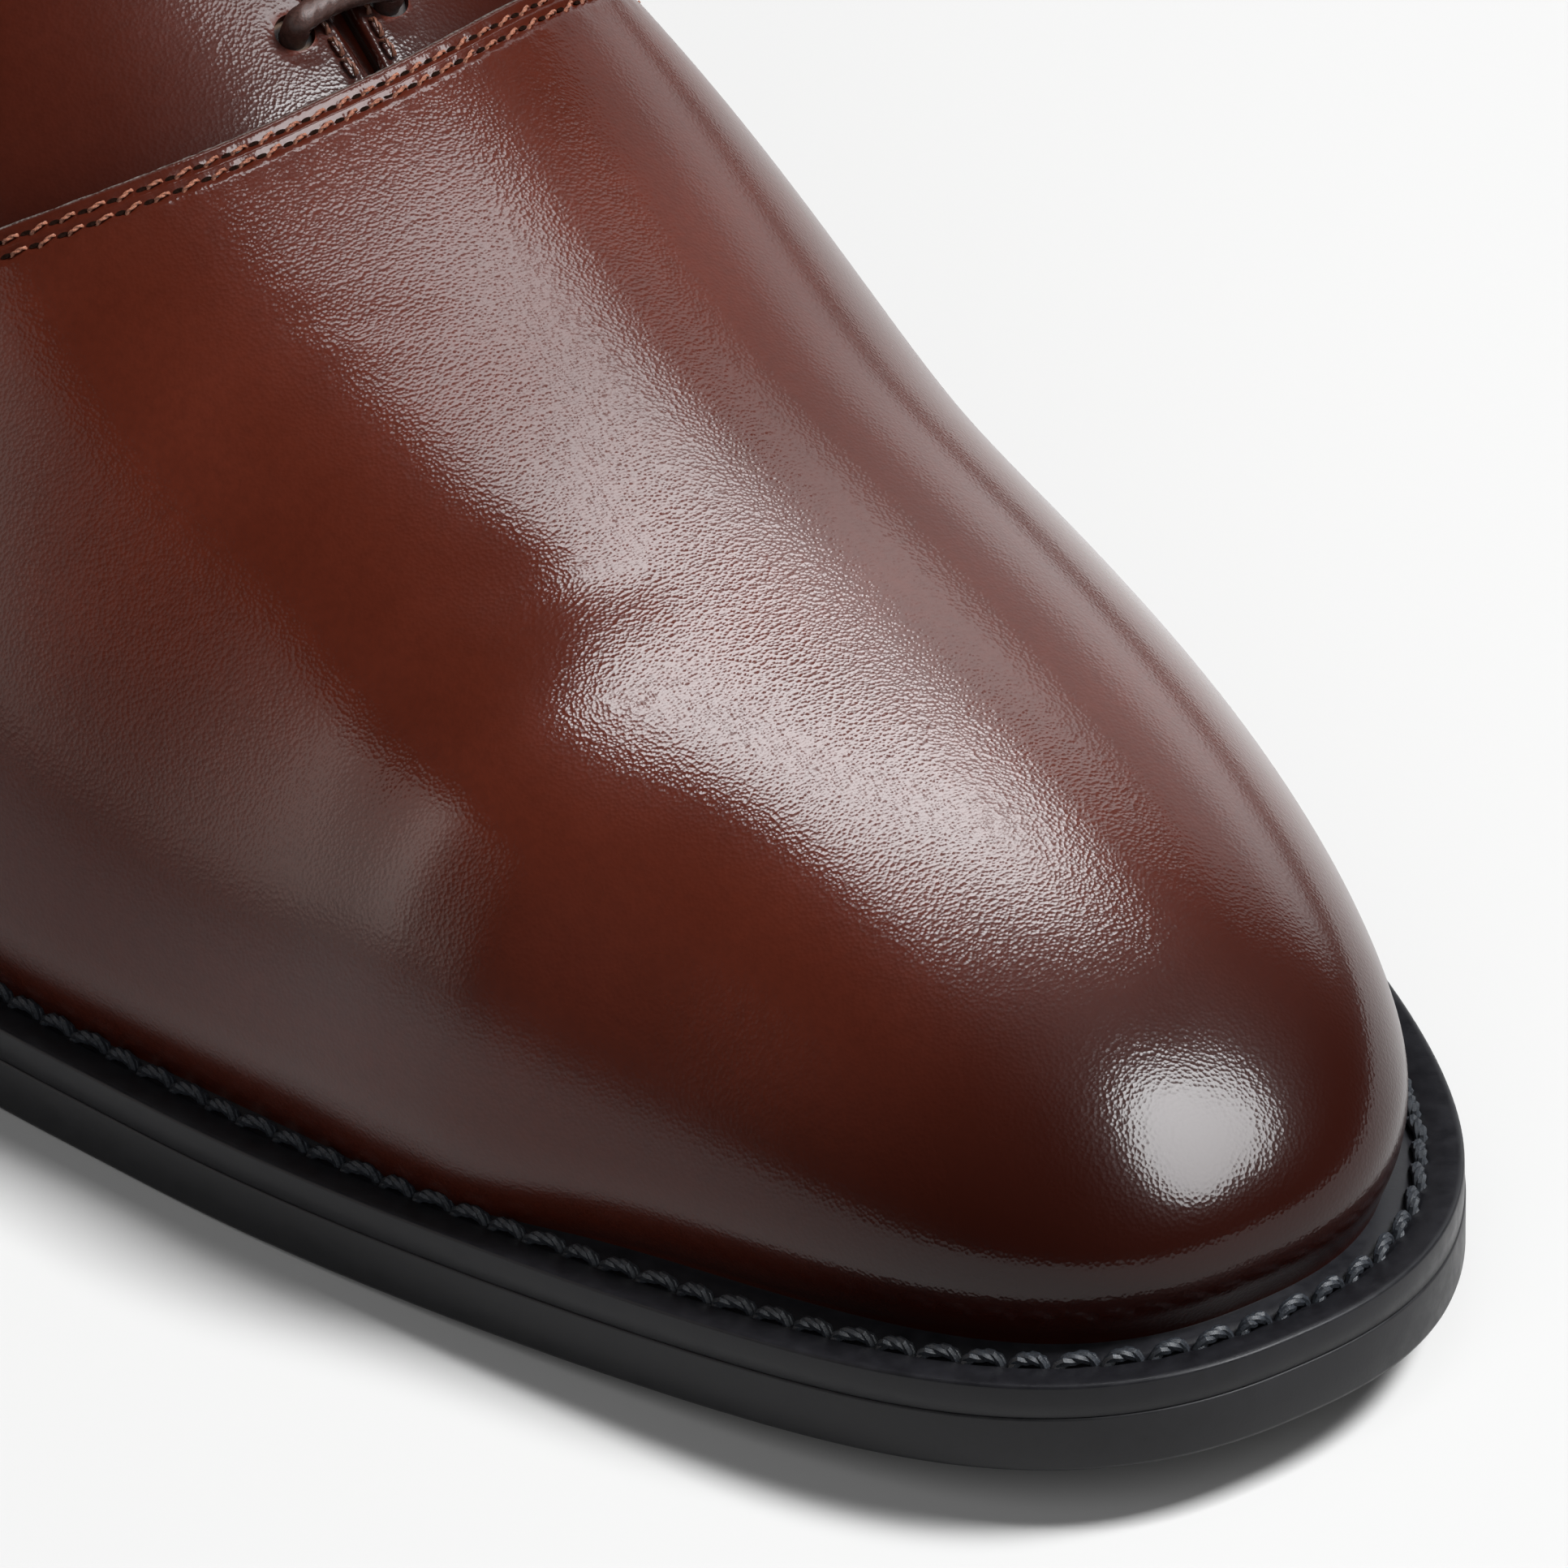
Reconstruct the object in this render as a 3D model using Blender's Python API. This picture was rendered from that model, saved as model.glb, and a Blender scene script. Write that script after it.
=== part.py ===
"""Plain-toe oxford shoe for the right foot: welted sole, stacked heel, hollow upper, tongue and lace bars.

The toe points along +X, the outer side is at -Y and the sole stands on Z = 0. Sizes are in millimetres.
"""

import math

import bmesh
import bpy
import numpy as np

MM = 0.001

# Driving dimensions of the sole
LENGTH = 302.0
OUTSOLE = 5.0
WELT = 2.8
GAP = 0.3
WELT_WIDTH = 13.0
HEEL_SEAT = 20.5
HEEL_SLOPE = 0.05
HEEL_BREAST = 74.0
BALL_BACK = 172.0
BALL_FRONT = 215.0
TOE_SPRING = 6.0
TOP_LIFT = 6.0
HEEL_TAPER = 2.0
HEEL_INSET = 0.6

# The two ends of the outline close as superellipses
TOE_REACH = 98.5
TOE_POWER = 2.4
HEEL_REACH = 40.0
HEEL_POWER = 2.1

# Driving dimensions of the upper
WALL = 3.0
VAMP_STEP = 1.2
TUCK = 2.2
TUCK_HEIGHT = 9.0
BACK_LEAN = 2.5
BACK_LEAN_FROM = 20.0
BACK_LEAN_OVER = 40.0
SEAM_CREST = 180.0
SEAM_CREST_AT = -0.12
SEAM_SWEEP_OUTER = 67.0
SEAM_SWEEP_INNER = 31.0
SLIT_AT_THROAT = 1.4
SLIT_AT_TOP = 6.0
FACING_TOP = 122.0
COLLAR_SIDE = 88.0

# Insole, tongue and lace
INSOLE = 2.5
INSOLE_CLEARANCE = 1.0
TONGUE = 2.0
TONGUE_CLEARANCE = 0.5
TONGUE_DROP = 1.3
TONGUE_FRONT = 190.0
TONGUE_BACK = 111.0
TONGUE_HALF_FRONT = 15.0
TONGUE_HALF_BACK = 24.0
TONGUE_CORNER = 17.0
LACE = 2.4
EYELET_HOLE = 3.4
EYELETS = 5
FIRST_EYELET = 174.0
LAST_EYELET = 129.0
EYELET_FROM_SLIT = 3.6

# Mesh density
COLUMNS = 14
CAP_ROWS = 12
VAMP_ROWS = 8
FACING_ROWS = 8
COLLAR_ROWS = 11
COLLAR_CROWDING = 1.7
ANKLE_ROWS = 5
HEEL_ROWS = 8
OUTLINE_COUNT = 70
HEEL_COUNT = 24
END_CROWDING = 0.92
TONGUE_ROWS = 17
TONGUE_COLUMNS = 13
TONGUE_CROWDING = 1.6
EYELET_SEGMENTS = 12
LACE_POINTS = 9
LACE_SEGMENTS = 2
BISECTIONS = 40
SMALL_STEP = 1e-3

# A row for each section, from the heel to the toe. The sole edge lies half_width to each side of the
# centre, and the upper is inset from it. Ridge is the height of the upper's top line over the floor,
# carried on past the collar as on a last, and ridge_shift moves that line to the inner side.
SECTION_COLUMNS = (
    "station", "centre", "half_width", "outer_inset", "inner_inset",
    "ridge", "ridge_shift", "side_power", "crown_power",
)
SECTIONS = (
    (0.0, -0.5, 34.0, 2.2, 2.2, 134.0, 0.0, 2.3, 1.9),
    (40.0, -0.5, 35.0, 2.2, 2.2, 136.0, 0.0, 2.3, 1.9),
    (75.0, -1.5, 33.5, 1.4, 1.8, 133.0, 1.2, 2.3, 2.0),
    (110.0, -3.8, 32.5, 0.8, 1.2, 113.0, 3.5, 2.3, 2.2),
    (140.0, -6.3, 39.0, 1.2, 0.8, 93.0, 5.5, 2.35, 2.15),
    (160.0, -6.3, 45.5, 1.6, 0.5, 79.0, 6.6, 2.45, 2.2),
    (175.0, -5.6, 49.0, 1.8, 0.8, 69.2, 6.8, 2.5, 2.25),
    (188.0, -4.4, 50.4, 1.9, 2.3, 63.0, 5.9, 2.45, 2.2),
    (200.0, -2.9, 50.0, 2.1, 3.8, 58.4, 4.8, 2.35, 2.15),
    (212.0, -1.4, 48.6, 2.4, 4.6, 54.3, 3.8, 2.27, 2.15),
    (225.0, 0.0, 47.0, 2.9, 4.3, 50.6, 2.6, 2.32, 2.25),
    (250.0, 2.4, 43.8, 4.1, 3.7, 45.7, 1.4, 2.45, 2.45),
    (275.0, 3.7, 41.8, 4.4, 4.0, 42.7, 2.3, 2.5, 2.6),
    (302.0, 3.4, 42.0, 4.0, 4.0, 40.6, 5.0, 2.55, 2.75),
)

# A row for each turn of the top line, seen from the side
TOP_LINE = (
    (0.0, 92.0),
    (20.0, 88.0),
    (45.0, 80.0),
    (70.0, 78.0),
    (90.0, 84.0),
    (105.0, 93.0),
    (120.0, 104.5),
    (135.0, 119.0),
)


def spline(stations, values):
    """The natural cubic spline through a short table."""
    x = np.asarray(stations, float)
    y = np.asarray(values, float)
    step = np.diff(x)
    slope = np.diff(y) / step
    count = len(x)
    matrix = np.eye(count)
    right = np.zeros(count)
    for i in range(1, count - 1):
        matrix[i, i - 1:i + 2] = step[i - 1], 2 * (step[i - 1] + step[i]), step[i]
        right[i] = 6 * (slope[i] - slope[i - 1])
    bend = np.linalg.solve(matrix, right)

    def curve(at):
        at = np.asarray(at, float)
        k = np.clip(np.searchsorted(x, at) - 1, 0, count - 2)
        after = at - x[k]
        before = x[k + 1] - at
        return (
            (bend[k] * before**3 + bend[k + 1] * after**3) / (6 * step[k])
            + (y[k] / step[k] - bend[k] * step[k] / 6) * before
            + (y[k + 1] / step[k] - bend[k + 1] * step[k] / 6) * after
        )

    return curve


STATIONS = [row[0] for row in SECTIONS]
SECTION = {
    name: spline(STATIONS, [row[i] for row in SECTIONS])
    for i, name in enumerate(SECTION_COLUMNS)
}
top_line = spline(*zip(*TOP_LINE))

TOE_BASE = LENGTH - TOE_REACH
TOE_INSET_UPPER = float(SECTION["outer_inset"](LENGTH))
HEEL_INSET_UPPER = float(SECTION["outer_inset"](0.0))
TOE_UPPER = TOE_REACH - TOE_INSET_UPPER
HEEL_UPPER = HEEL_REACH - HEEL_INSET_UPPER
FEATHER = OUTSOLE + WELT + 2 * GAP


def sole_bottom(x):
    """Height of the outsole's underside: heel seat, waist, flat ball and toe spring."""
    x = np.asarray(x, float)
    seat = HEEL_SEAT + HEEL_SLOPE * (HEEL_BREAST - x)
    span = BALL_BACK - HEEL_BREAST
    t = np.clip((x - HEEL_BREAST) / span, 0, 1)
    waist = HEEL_SEAT * (1 - t) ** 2 * (1 + 2 * t) - HEEL_SLOPE * span * t * (1 - t) ** 2
    spring = TOE_SPRING * (np.clip(x - BALL_FRONT, 0, None) / (LENGTH - BALL_FRONT)) ** 2
    return np.where(x < HEEL_BREAST, seat, waist + spring)


def closing(x, inset):
    """How far the outline has closed at a station: 1 along the foot, 0 at the tips."""
    toe = np.clip((x - TOE_BASE) / (TOE_REACH - inset), 0, 1)
    heel = np.clip((HEEL_REACH - x) / (HEEL_REACH - inset), 0, 1)
    return (1 - toe**TOE_POWER) ** (1 / TOE_POWER) * (1 - heel**HEEL_POWER) ** (1 / HEEL_POWER)


def edge(x, side, inset=0.0):
    """Y of the sole's edge, or of a line inset from it, on one side."""
    return SECTION["centre"](x) + side * (SECTION["half_width"](x) - inset) * closing(x, inset)


def stations(count, start=0.0, end=LENGTH):
    """Stations from heel to toe that crowd towards both ends, as angles round them."""
    eased = (1 - np.cos(np.linspace(0, math.pi, count))) / 2
    even = np.linspace(0, 1, count)
    return start + (end - start) * (END_CROWDING * eased + (1 - END_CROWDING) * even)


def outline_ring(xs, outer_inset, inner_inset):
    """The outline as a closed ring: along the outer side to the toe, and back along the inner side."""
    outer = list(zip(xs, edge(xs, -1, outer_inset)))
    inner = list(zip(xs, edge(xs, 1, inner_inset)))
    return outer + inner[-2:0:-1]


EDGE_STATIONS = stations(OUTLINE_COUNT)
X_MIDDLE = LENGTH / 2
Y_MIDDLE = (edge(EDGE_STATIONS, -1).min() + edge(EDGE_STATIONS, 1).max()) / 2


def clear_scene():
    for obj in list(bpy.data.objects):
        bpy.data.objects.remove(obj, do_unlink=True)


def new_collection(name):
    collection = bpy.data.collections.new(name)
    bpy.context.scene.collection.children.link(collection)
    return collection


def principled(name, colour, roughness):
    material = bpy.data.materials.new(name)
    material.use_nodes = True
    shader = material.node_tree.nodes["Principled BSDF"]
    shader.inputs["Base Color"].default_value = (*colour, 1.0)
    shader.inputs["Roughness"].default_value = roughness
    return material


def placed(points):
    """Millimetres from the heel to metres about the middle of the box."""
    return (np.asarray(points, float) - (X_MIDDLE, Y_MIDDLE, 0.0)) * MM


def add_mesh(name, points, faces, material, collection):
    mesh = bpy.data.meshes.new(name)
    mesh.from_pydata([tuple(p) for p in placed(points)], [], faces)
    shape = bmesh.new()
    shape.from_mesh(mesh)
    bmesh.ops.recalc_face_normals(shape, faces=shape.faces)
    shape.to_mesh(mesh)
    shape.free()
    mesh.materials.append(material)
    obj = bpy.data.objects.new(name, mesh)
    collection.objects.link(obj)
    return obj


def plate(name, xs, ring, low, high, material, collection):
    """A plate inside a ring, between two heights that depend on the station."""
    count = len(ring)
    points = [(x, y, float(low(x))) for x, y in ring] + [(x, y, float(high(x))) for x, y in ring]
    faces = [(i, (i + 1) % count, (i + 1) % count + count, i + count) for i in range(count)]
    for i in range(len(xs) - 1):
        across = (i, i + 1, (count - i - 1) % count, (count - i) % count)
        strip = list(dict.fromkeys(across))
        faces.append(strip)
        faces.append([k + count for k in strip])
    return add_mesh(name, points, faces, material, collection)


def build_outsole(collection):
    material = principled("outsole_rubber", (0.020, 0.020, 0.021), 0.5)
    plate(
        "outsole", EDGE_STATIONS, outline_ring(EDGE_STATIONS, 0.0, 0.0),
        sole_bottom, lambda x: sole_bottom(x) + OUTSOLE, material, collection,
    )


def build_welt(collection):
    """A strip round the sole edge, wide enough to pass under the upper's wall."""
    material = principled("welt_black", (0.013, 0.013, 0.014), 0.45)
    loops = [
        outline_ring(stations(OUTLINE_COUNT, inset, LENGTH - inset), inset, inset)
        for inset in (0.0, WELT_WIDTH)
    ]
    count = len(loops[0])
    points = []
    for height in (OUTSOLE + GAP, OUTSOLE + GAP + WELT):
        for loop in loops:
            points += [(x, y, float(sole_bottom(x)) + height) for x, y in loop]
    faces = []
    for first, second in ((0, 1), (3, 2), (2, 0), (1, 3)):
        for i in range(count):
            k = (i + 1) % count
            faces.append((first * count + i, first * count + k, second * count + k, second * count + i))
    add_mesh("welt", points, faces, material, collection)


def heel_ring(inset, front):
    """The back of the outline up to the heel breast, as a closed ring."""
    xs = stations(HEEL_COUNT, inset, front)
    outer = list(zip(xs, edge(xs, -1, inset)))
    inner = list(zip(xs, edge(xs, 1, inset)))
    return outer + inner[:0:-1]


def heel_piece(name, insets, fronts, heights, material, collection):
    """A slice of the heel, lofted between two rings."""
    rings = [heel_ring(inset, front) for inset, front in zip(insets, fronts)]
    count = len(rings[0])
    points = [(x, y, float(height(x))) for ring, height in zip(rings, heights) for x, y in ring]
    faces = [(i, (i + 1) % count, (i + 1) % count + count, i + count) for i in range(count)]
    faces.append(list(range(count)))
    faces.append(list(range(count, 2 * count)))
    add_mesh(name, points, faces, material, collection)


def build_heel(collection):
    foot = HEEL_INSET + HEEL_TAPER
    split = HEEL_INSET + HEEL_TAPER * (1 - TOP_LIFT / HEEL_SEAT)
    front_low = HEEL_BREAST - 2 * HEEL_TAPER
    front_split = front_low + HEEL_TAPER * TOP_LIFT / HEEL_SEAT
    heel_piece(
        "heel_top_lift", (foot, split), (front_low, front_split),
        (lambda x: 0.0, lambda x: TOP_LIFT),
        principled("heel_rubber", (0.018, 0.018, 0.019), 0.55), collection,
    )
    heel_piece(
        "heel_block", (split, HEEL_INSET), (front_split, HEEL_BREAST - HEEL_TAPER),
        (lambda x: TOP_LIFT + GAP, lambda x: sole_bottom(x) - GAP),
        principled("heel_stack", (0.020, 0.019, 0.019), 0.4), collection,
    )


def build_insole(collection):
    material = principled("insole_leather", (0.42, 0.26, 0.15), 0.6)
    within = TUCK + WALL + INSOLE_CLEARANCE
    xs = stations(OUTLINE_COUNT, HEEL_INSET_UPPER + within, LENGTH - TOE_INSET_UPPER - within)
    ring = outline_ring(xs, SECTION["outer_inset"](xs) + within, SECTION["inner_inset"](xs) + within)
    plate(
        "insole", xs, ring, lambda x: sole_bottom(x) + FEATHER,
        lambda x: sole_bottom(x) + FEATHER + INSOLE, material, collection,
    )


def upper_width(x):
    """Half the width of the upper where it is widest."""
    return SECTION["half_width"](x) - (SECTION["outer_inset"](x) + SECTION["inner_inset"](x)) / 2


def upper_centre(x):
    return SECTION["centre"](x) + (SECTION["outer_inset"](x) - SECTION["inner_inset"](x)) / 2


def outline_normal(reach, side, width):
    """Which way the outline faces, on the sides and round both ends."""
    toe = (np.clip(reach, 0, None) / TOE_UPPER) ** (TOE_POWER - 1) / TOE_UPPER
    heel = (np.clip(-reach, 0, None) / HEEL_UPPER) ** (HEEL_POWER - 1) / HEEL_UPPER
    aside = np.sign(side) * np.abs(side) ** (TOE_POWER - 1) / width
    size = np.hypot(toe - heel, aside)
    size = np.where(size > 0, size, 1.0)
    return (toe - heel) / size, aside / size


def last_points(base, reach, side, sigma):
    """Points on the last. Sigma runs from 0 on the ridge to 1 on the feather edge."""
    base, reach, side, sigma = np.broadcast_arrays(base, reach, side, sigma)
    radius = np.sin(sigma * math.pi / 2)
    x = base + reach * radius
    width = upper_width(x)
    foot = sole_bottom(x) + FEATHER
    rise = SECTION["ridge"](x) - foot
    crown = np.clip(1 - radius ** SECTION["side_power"](x), 0, 1) ** (1 / SECTION["crown_power"](x))
    height = rise * crown
    shift = SECTION["ridge_shift"](x) * (1 - radius**2)
    y = upper_centre(x) + width * side * radius + shift
    along, aside = outline_normal(reach, side, width)
    tuck = TUCK * np.clip(1 - height / TUCK_HEIGHT, 0, 1) ** 2
    back = np.clip(-reach / HEEL_UPPER, 0, 1)
    lean = BACK_LEAN * back * (np.clip(height - BACK_LEAN_FROM, 0, None) / BACK_LEAN_OVER) ** 2
    return np.stack([x - tuck * along + lean, y - tuck * aside, foot + height], axis=-1)


def seam_station(across):
    """Where the vamp's edge crosses each side, from -1 on the outer feather edge to 1 on the inner one."""
    off_crest = np.asarray(across) - SEAM_CREST_AT
    sweep = np.where(off_crest < 0, SEAM_SWEEP_OUTER, SEAM_SWEEP_INNER)
    return SEAM_CREST - sweep * off_crest**2


THROAT = float(seam_station(0.0))


def slit(x):
    """Width of the lacing slit."""
    t = np.clip((THROAT - x) / (THROAT - FACING_TOP), 0, 1)
    return SLIT_AT_THROAT + (SLIT_AT_TOP - SLIT_AT_THROAT) * t


def sigma_off_ridge(x, distance):
    """The share of the way down the side at which a point lies this far from the ridge."""
    return 2 / math.pi * math.asin(distance / float(upper_width(x)))


THROAT_SIGMA = sigma_off_ridge(THROAT, SLIT_AT_THROAT / 2)
SIDE_SIGMA = THROAT_SIGMA + (1 - THROAT_SIGMA) * np.linspace(0, 1, COLUMNS)


def round_toe(across, along):
    """Spreads a square grid over the round toe, so that no row closes to a point."""
    ahead = along * np.sqrt(1 - across**2 / 2)
    aside = across * np.sqrt(1 - along**2 / 2)
    sigma = np.hypot(ahead, aside)
    safe = np.where(sigma > 0, sigma, 1.0)
    turn = 2 / TOE_POWER
    reach = TOE_UPPER * (np.abs(ahead) / safe) ** turn
    side = np.sign(aside) * (np.abs(aside) / safe) ** turn
    return last_points(TOE_BASE, reach, side, np.minimum(sigma, 1.0))


def vamp_grid():
    """Rows from the toe's front to the vamp's edge, columns from the outer to the inner side."""
    across = np.concatenate([-SIDE_SIGMA[::-1], [0.0], SIDE_SIGMA])
    along = np.linspace(1, 0, CAP_ROWS + 1)[:, None]
    cap = round_toe(across[None, :], along)
    sigma = np.abs(across)
    share = np.linspace(0, 1, VAMP_ROWS + 1)[1:, None]
    base = TOE_BASE + (seam_station(across) - TOE_BASE) * share
    return np.concatenate([cap, last_points(base, 0.0, np.sign(across), sigma)])


def quarter_row(path):
    """A row of a quarter from the slit or the top line down to the feather edge."""
    low, high = 0.0, 1.0
    for _ in range(BISECTIONS):
        middle = (low + high) / 2
        x, y, z = path(middle)
        off_ridge = math.sin(middle * math.pi / 2) * upper_width(x)
        if z <= top_line(x) and off_ridge >= slit(x) / 2:
            high = middle
        else:
            low = middle
    return path(high + (1 - high) * np.linspace(0, 1, COLUMNS))


def quarter_grid():
    """Rows from the outer seam round the heel to the inner seam, columns from the top downwards."""
    collar = np.linspace(0, 1, COLLAR_ROWS + 1)[1:] ** COLLAR_CROWDING
    rows_at = np.concatenate([
        np.linspace(THROAT, FACING_TOP, FACING_ROWS + 1)[1:],
        FACING_TOP + (COLLAR_SIDE - FACING_TOP) * collar,
        np.linspace(COLLAR_SIDE, HEEL_REACH, ANKLE_ROWS + 1)[1:],
    ])
    share = (rows_at - HEEL_REACH) / (THROAT - HEEL_REACH)
    turn = np.linspace(0, math.pi / 2, HEEL_ROWS + 1)[1:]
    reach = -HEEL_UPPER * np.sin(turn) ** (2 / HEEL_POWER)
    across = np.maximum(np.cos(turn), 0.0) ** (2 / HEEL_POWER)
    sides = []
    for side in (-1, 1):
        rows = [
            quarter_row(lambda sigma, part=part, side=side: last_points(
                HEEL_REACH + (seam_station(side * sigma) - HEEL_REACH) * part, 0.0, side, sigma))
            for part in share
        ]
        rows += [
            quarter_row(lambda sigma, r=r, a=a, side=side: last_points(HEEL_REACH, r, side * a, sigma))
            for r, a in zip(reach, across)
        ]
        sides.append(rows)
    return np.array(sides[0] + sides[1][-2::-1])


def grid_index(grid):
    """The number of each point of a grid of points."""
    return np.arange(grid.shape[0] * grid.shape[1]).reshape(grid.shape[:2])


def grid_faces(index):
    rows, columns = index.shape
    return [
        (index[i, j], index[i, j + 1], index[i + 1, j + 1], index[i + 1, j])
        for i in range(rows - 1) for j in range(columns - 1)
    ]


def vertex_normals(points, faces):
    """Outward normals of the open surface, averaged over the faces round each point."""
    shape = bmesh.new()
    vertices = [shape.verts.new(p) for p in points]
    for face in faces:
        shape.faces.new([vertices[i] for i in face])
    shape.normal_update()
    normals = np.array([v.normal[:] for v in vertices])
    shape.free()
    return normals


def boundary(faces):
    """Directed edges that belong to one face only."""
    found = {}
    for face in faces:
        for a, b in zip(face, face[1:] + face[:1]):
            if (b, a) in found:
                del found[b, a]
            else:
                found[a, b] = True
    return list(found)


def build_upper(collection, cutters):
    """The hollow shell, with the vamp standing one leather above the quarters."""
    vamp = vamp_grid()
    quarter = quarter_grid()
    points = np.concatenate([vamp.reshape(-1, 3), quarter.reshape(-1, 3)])
    vamp_index = grid_index(vamp)
    quarter_index = vamp_index.size + grid_index(quarter)
    outer_seam = vamp_index[-1, COLUMNS - 1::-1]
    inner_seam = vamp_index[-1, COLUMNS + 1:]
    strip = np.vstack([outer_seam, quarter_index, inner_seam])
    vamp_faces = grid_faces(vamp_index)
    quarter_faces = [face[::-1] for face in grid_faces(strip)]
    faces = vamp_faces + quarter_faces
    normals = vertex_normals(points, faces)
    if normals[vamp_index[CAP_ROWS, COLUMNS], 2] < 0:
        normals = -normals
    count = len(points)
    raised = points
    lowered = points - VAMP_STEP * normals
    inside = points - WALL * normals
    solid_points = np.concatenate([raised, lowered, inside])
    lower = {k: k + count for k in range(count)}
    under = {k: k + 2 * count for k in range(count)}
    solid_faces = list(vamp_faces)
    solid_faces += [tuple(lower[k] for k in face) for face in quarter_faces]
    solid_faces += [tuple(under[k] for k in face[::-1]) for face in faces]
    of_vamp = set(boundary(vamp_faces))
    step_ends = {outer_seam[0], outer_seam[-1], inner_seam[0], inner_seam[-1]}
    for a, b in boundary(faces):
        if (a, b) in of_vamp:
            down = [a, lower[a], under[a]] if a in step_ends else [a, under[a]]
            up = [under[b], lower[b], b] if b in step_ends else [under[b], b]
            solid_faces.append(tuple(down + up))
        else:
            solid_faces.append((lower[b], lower[a], under[a], under[b]))
    for seam in (outer_seam, inner_seam):
        for a, b in zip(seam[:-1], seam[1:]):
            solid_faces.append((a, b, lower[b], lower[a]))
    used = sorted({k for face in solid_faces for k in face})
    place = {k: i for i, k in enumerate(used)}
    material = principled("upper_leather", (0.085, 0.020, 0.012), 0.3)
    upper = add_mesh(
        "upper", solid_points[used], [tuple(place[k] for k in face) for face in solid_faces],
        material, collection,
    )
    upper.modifiers.new("flat_faces", "TRIANGULATE")
    for number, side, centre, normal in eyelets():
        cut_hole(upper, f"eyelet_cutter_{number}_{side}", centre, normal, cutters)


def surface_frame(x, side, sigma):
    """A point of the last at a station and the outward normal there."""
    centre = last_points(x, 0.0, side, sigma)
    ahead = last_points(x + SMALL_STEP, 0.0, side, sigma) - centre
    down = last_points(x, 0.0, side, sigma + SMALL_STEP) - centre
    normal = np.cross(ahead, down) * side
    normal /= np.linalg.norm(normal)
    return centre, normal if normal[2] > 0 else -normal


def eyelets():
    """Number, side, place on the quarter's surface and normal of each lace hole."""
    found = []
    for number, x in enumerate(np.linspace(FIRST_EYELET, LAST_EYELET, EYELETS), 1):
        for side in (-1, 1):
            sigma = sigma_off_ridge(x, float(slit(x)) / 2 + EYELET_FROM_SLIT)
            centre, normal = surface_frame(x, side, sigma)
            found.append((number, side, centre - VAMP_STEP * normal, normal))
    return found


def cut_hole(upper, name, centre, normal, cutters):
    radius = EYELET_HOLE / 2 * MM
    shape = bmesh.new()
    bmesh.ops.create_cone(
        shape, cap_ends=True, segments=EYELET_SEGMENTS, radius1=radius, radius2=radius,
        depth=4 * WALL * MM,
    )
    mesh = bpy.data.meshes.new(name)
    shape.to_mesh(mesh)
    shape.free()
    cutter = bpy.data.objects.new(name, mesh)
    cutter.location = placed(centre)
    cutter.rotation_mode = "QUATERNION"
    cutter.rotation_quaternion = quaternion_to(normal)
    cutter.hide_render = True
    cutter.display_type = "WIRE"
    cutters.objects.link(cutter)
    hole = upper.modifiers.new(name, "BOOLEAN")
    hole.operation = "DIFFERENCE"
    hole.solver = "EXACT"
    hole.object = cutter


def quaternion_to(direction):
    """The turn that takes +Z to a direction."""
    axis = np.cross((0.0, 0.0, 1.0), direction)
    length = np.linalg.norm(axis)
    angle = math.atan2(length, direction[2])
    axis = axis / length
    return (math.cos(angle / 2), *(axis * math.sin(angle / 2)))


def build_tongue(collection):
    """A sheet that follows the upper's inside, under the slit and a little above the facings."""
    share = np.linspace(0, 1, TONGUE_ROWS) ** TONGUE_CROWDING
    xs = TONGUE_BACK + (TONGUE_FRONT - TONGUE_BACK) * share
    corner = np.clip(TONGUE_CORNER - (xs - TONGUE_BACK), 0, None)
    rounding = TONGUE_CORNER - np.sqrt(TONGUE_CORNER**2 - corner**2)
    halves = TONGUE_HALF_BACK + (TONGUE_HALF_FRONT - TONGUE_HALF_BACK) * share - rounding
    across = np.linspace(-1, 1, TONGUE_COLUMNS)
    drop = TONGUE_DROP * (1 - share) ** 2
    grid = np.empty((TONGUE_ROWS, TONGUE_COLUMNS, 3))
    normal = np.empty_like(grid)
    for i, (x, half) in enumerate(zip(xs, halves)):
        for j, a in enumerate(across):
            sigma = sigma_off_ridge(x, abs(a) * half)
            grid[i, j], normal[i, j] = surface_frame(x, 1 if a > 0 else -1, max(sigma, SMALL_STEP))
    outer = grid - (WALL + TONGUE_CLEARANCE + drop)[:, None, None] * normal
    inner = outer - TONGUE * normal
    index = grid_index(grid)
    faces = grid_faces(index)
    points = np.concatenate([outer.reshape(-1, 3), inner.reshape(-1, 3)])
    solid = list(faces)
    solid += [tuple(k + index.size for k in face[::-1]) for face in faces]
    solid += [(b, a, a + index.size, b + index.size) for a, b in boundary(faces)]
    add_mesh("tongue", points, solid, principled("tongue_leather", (0.075, 0.018, 0.011), 0.4), collection)


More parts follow.
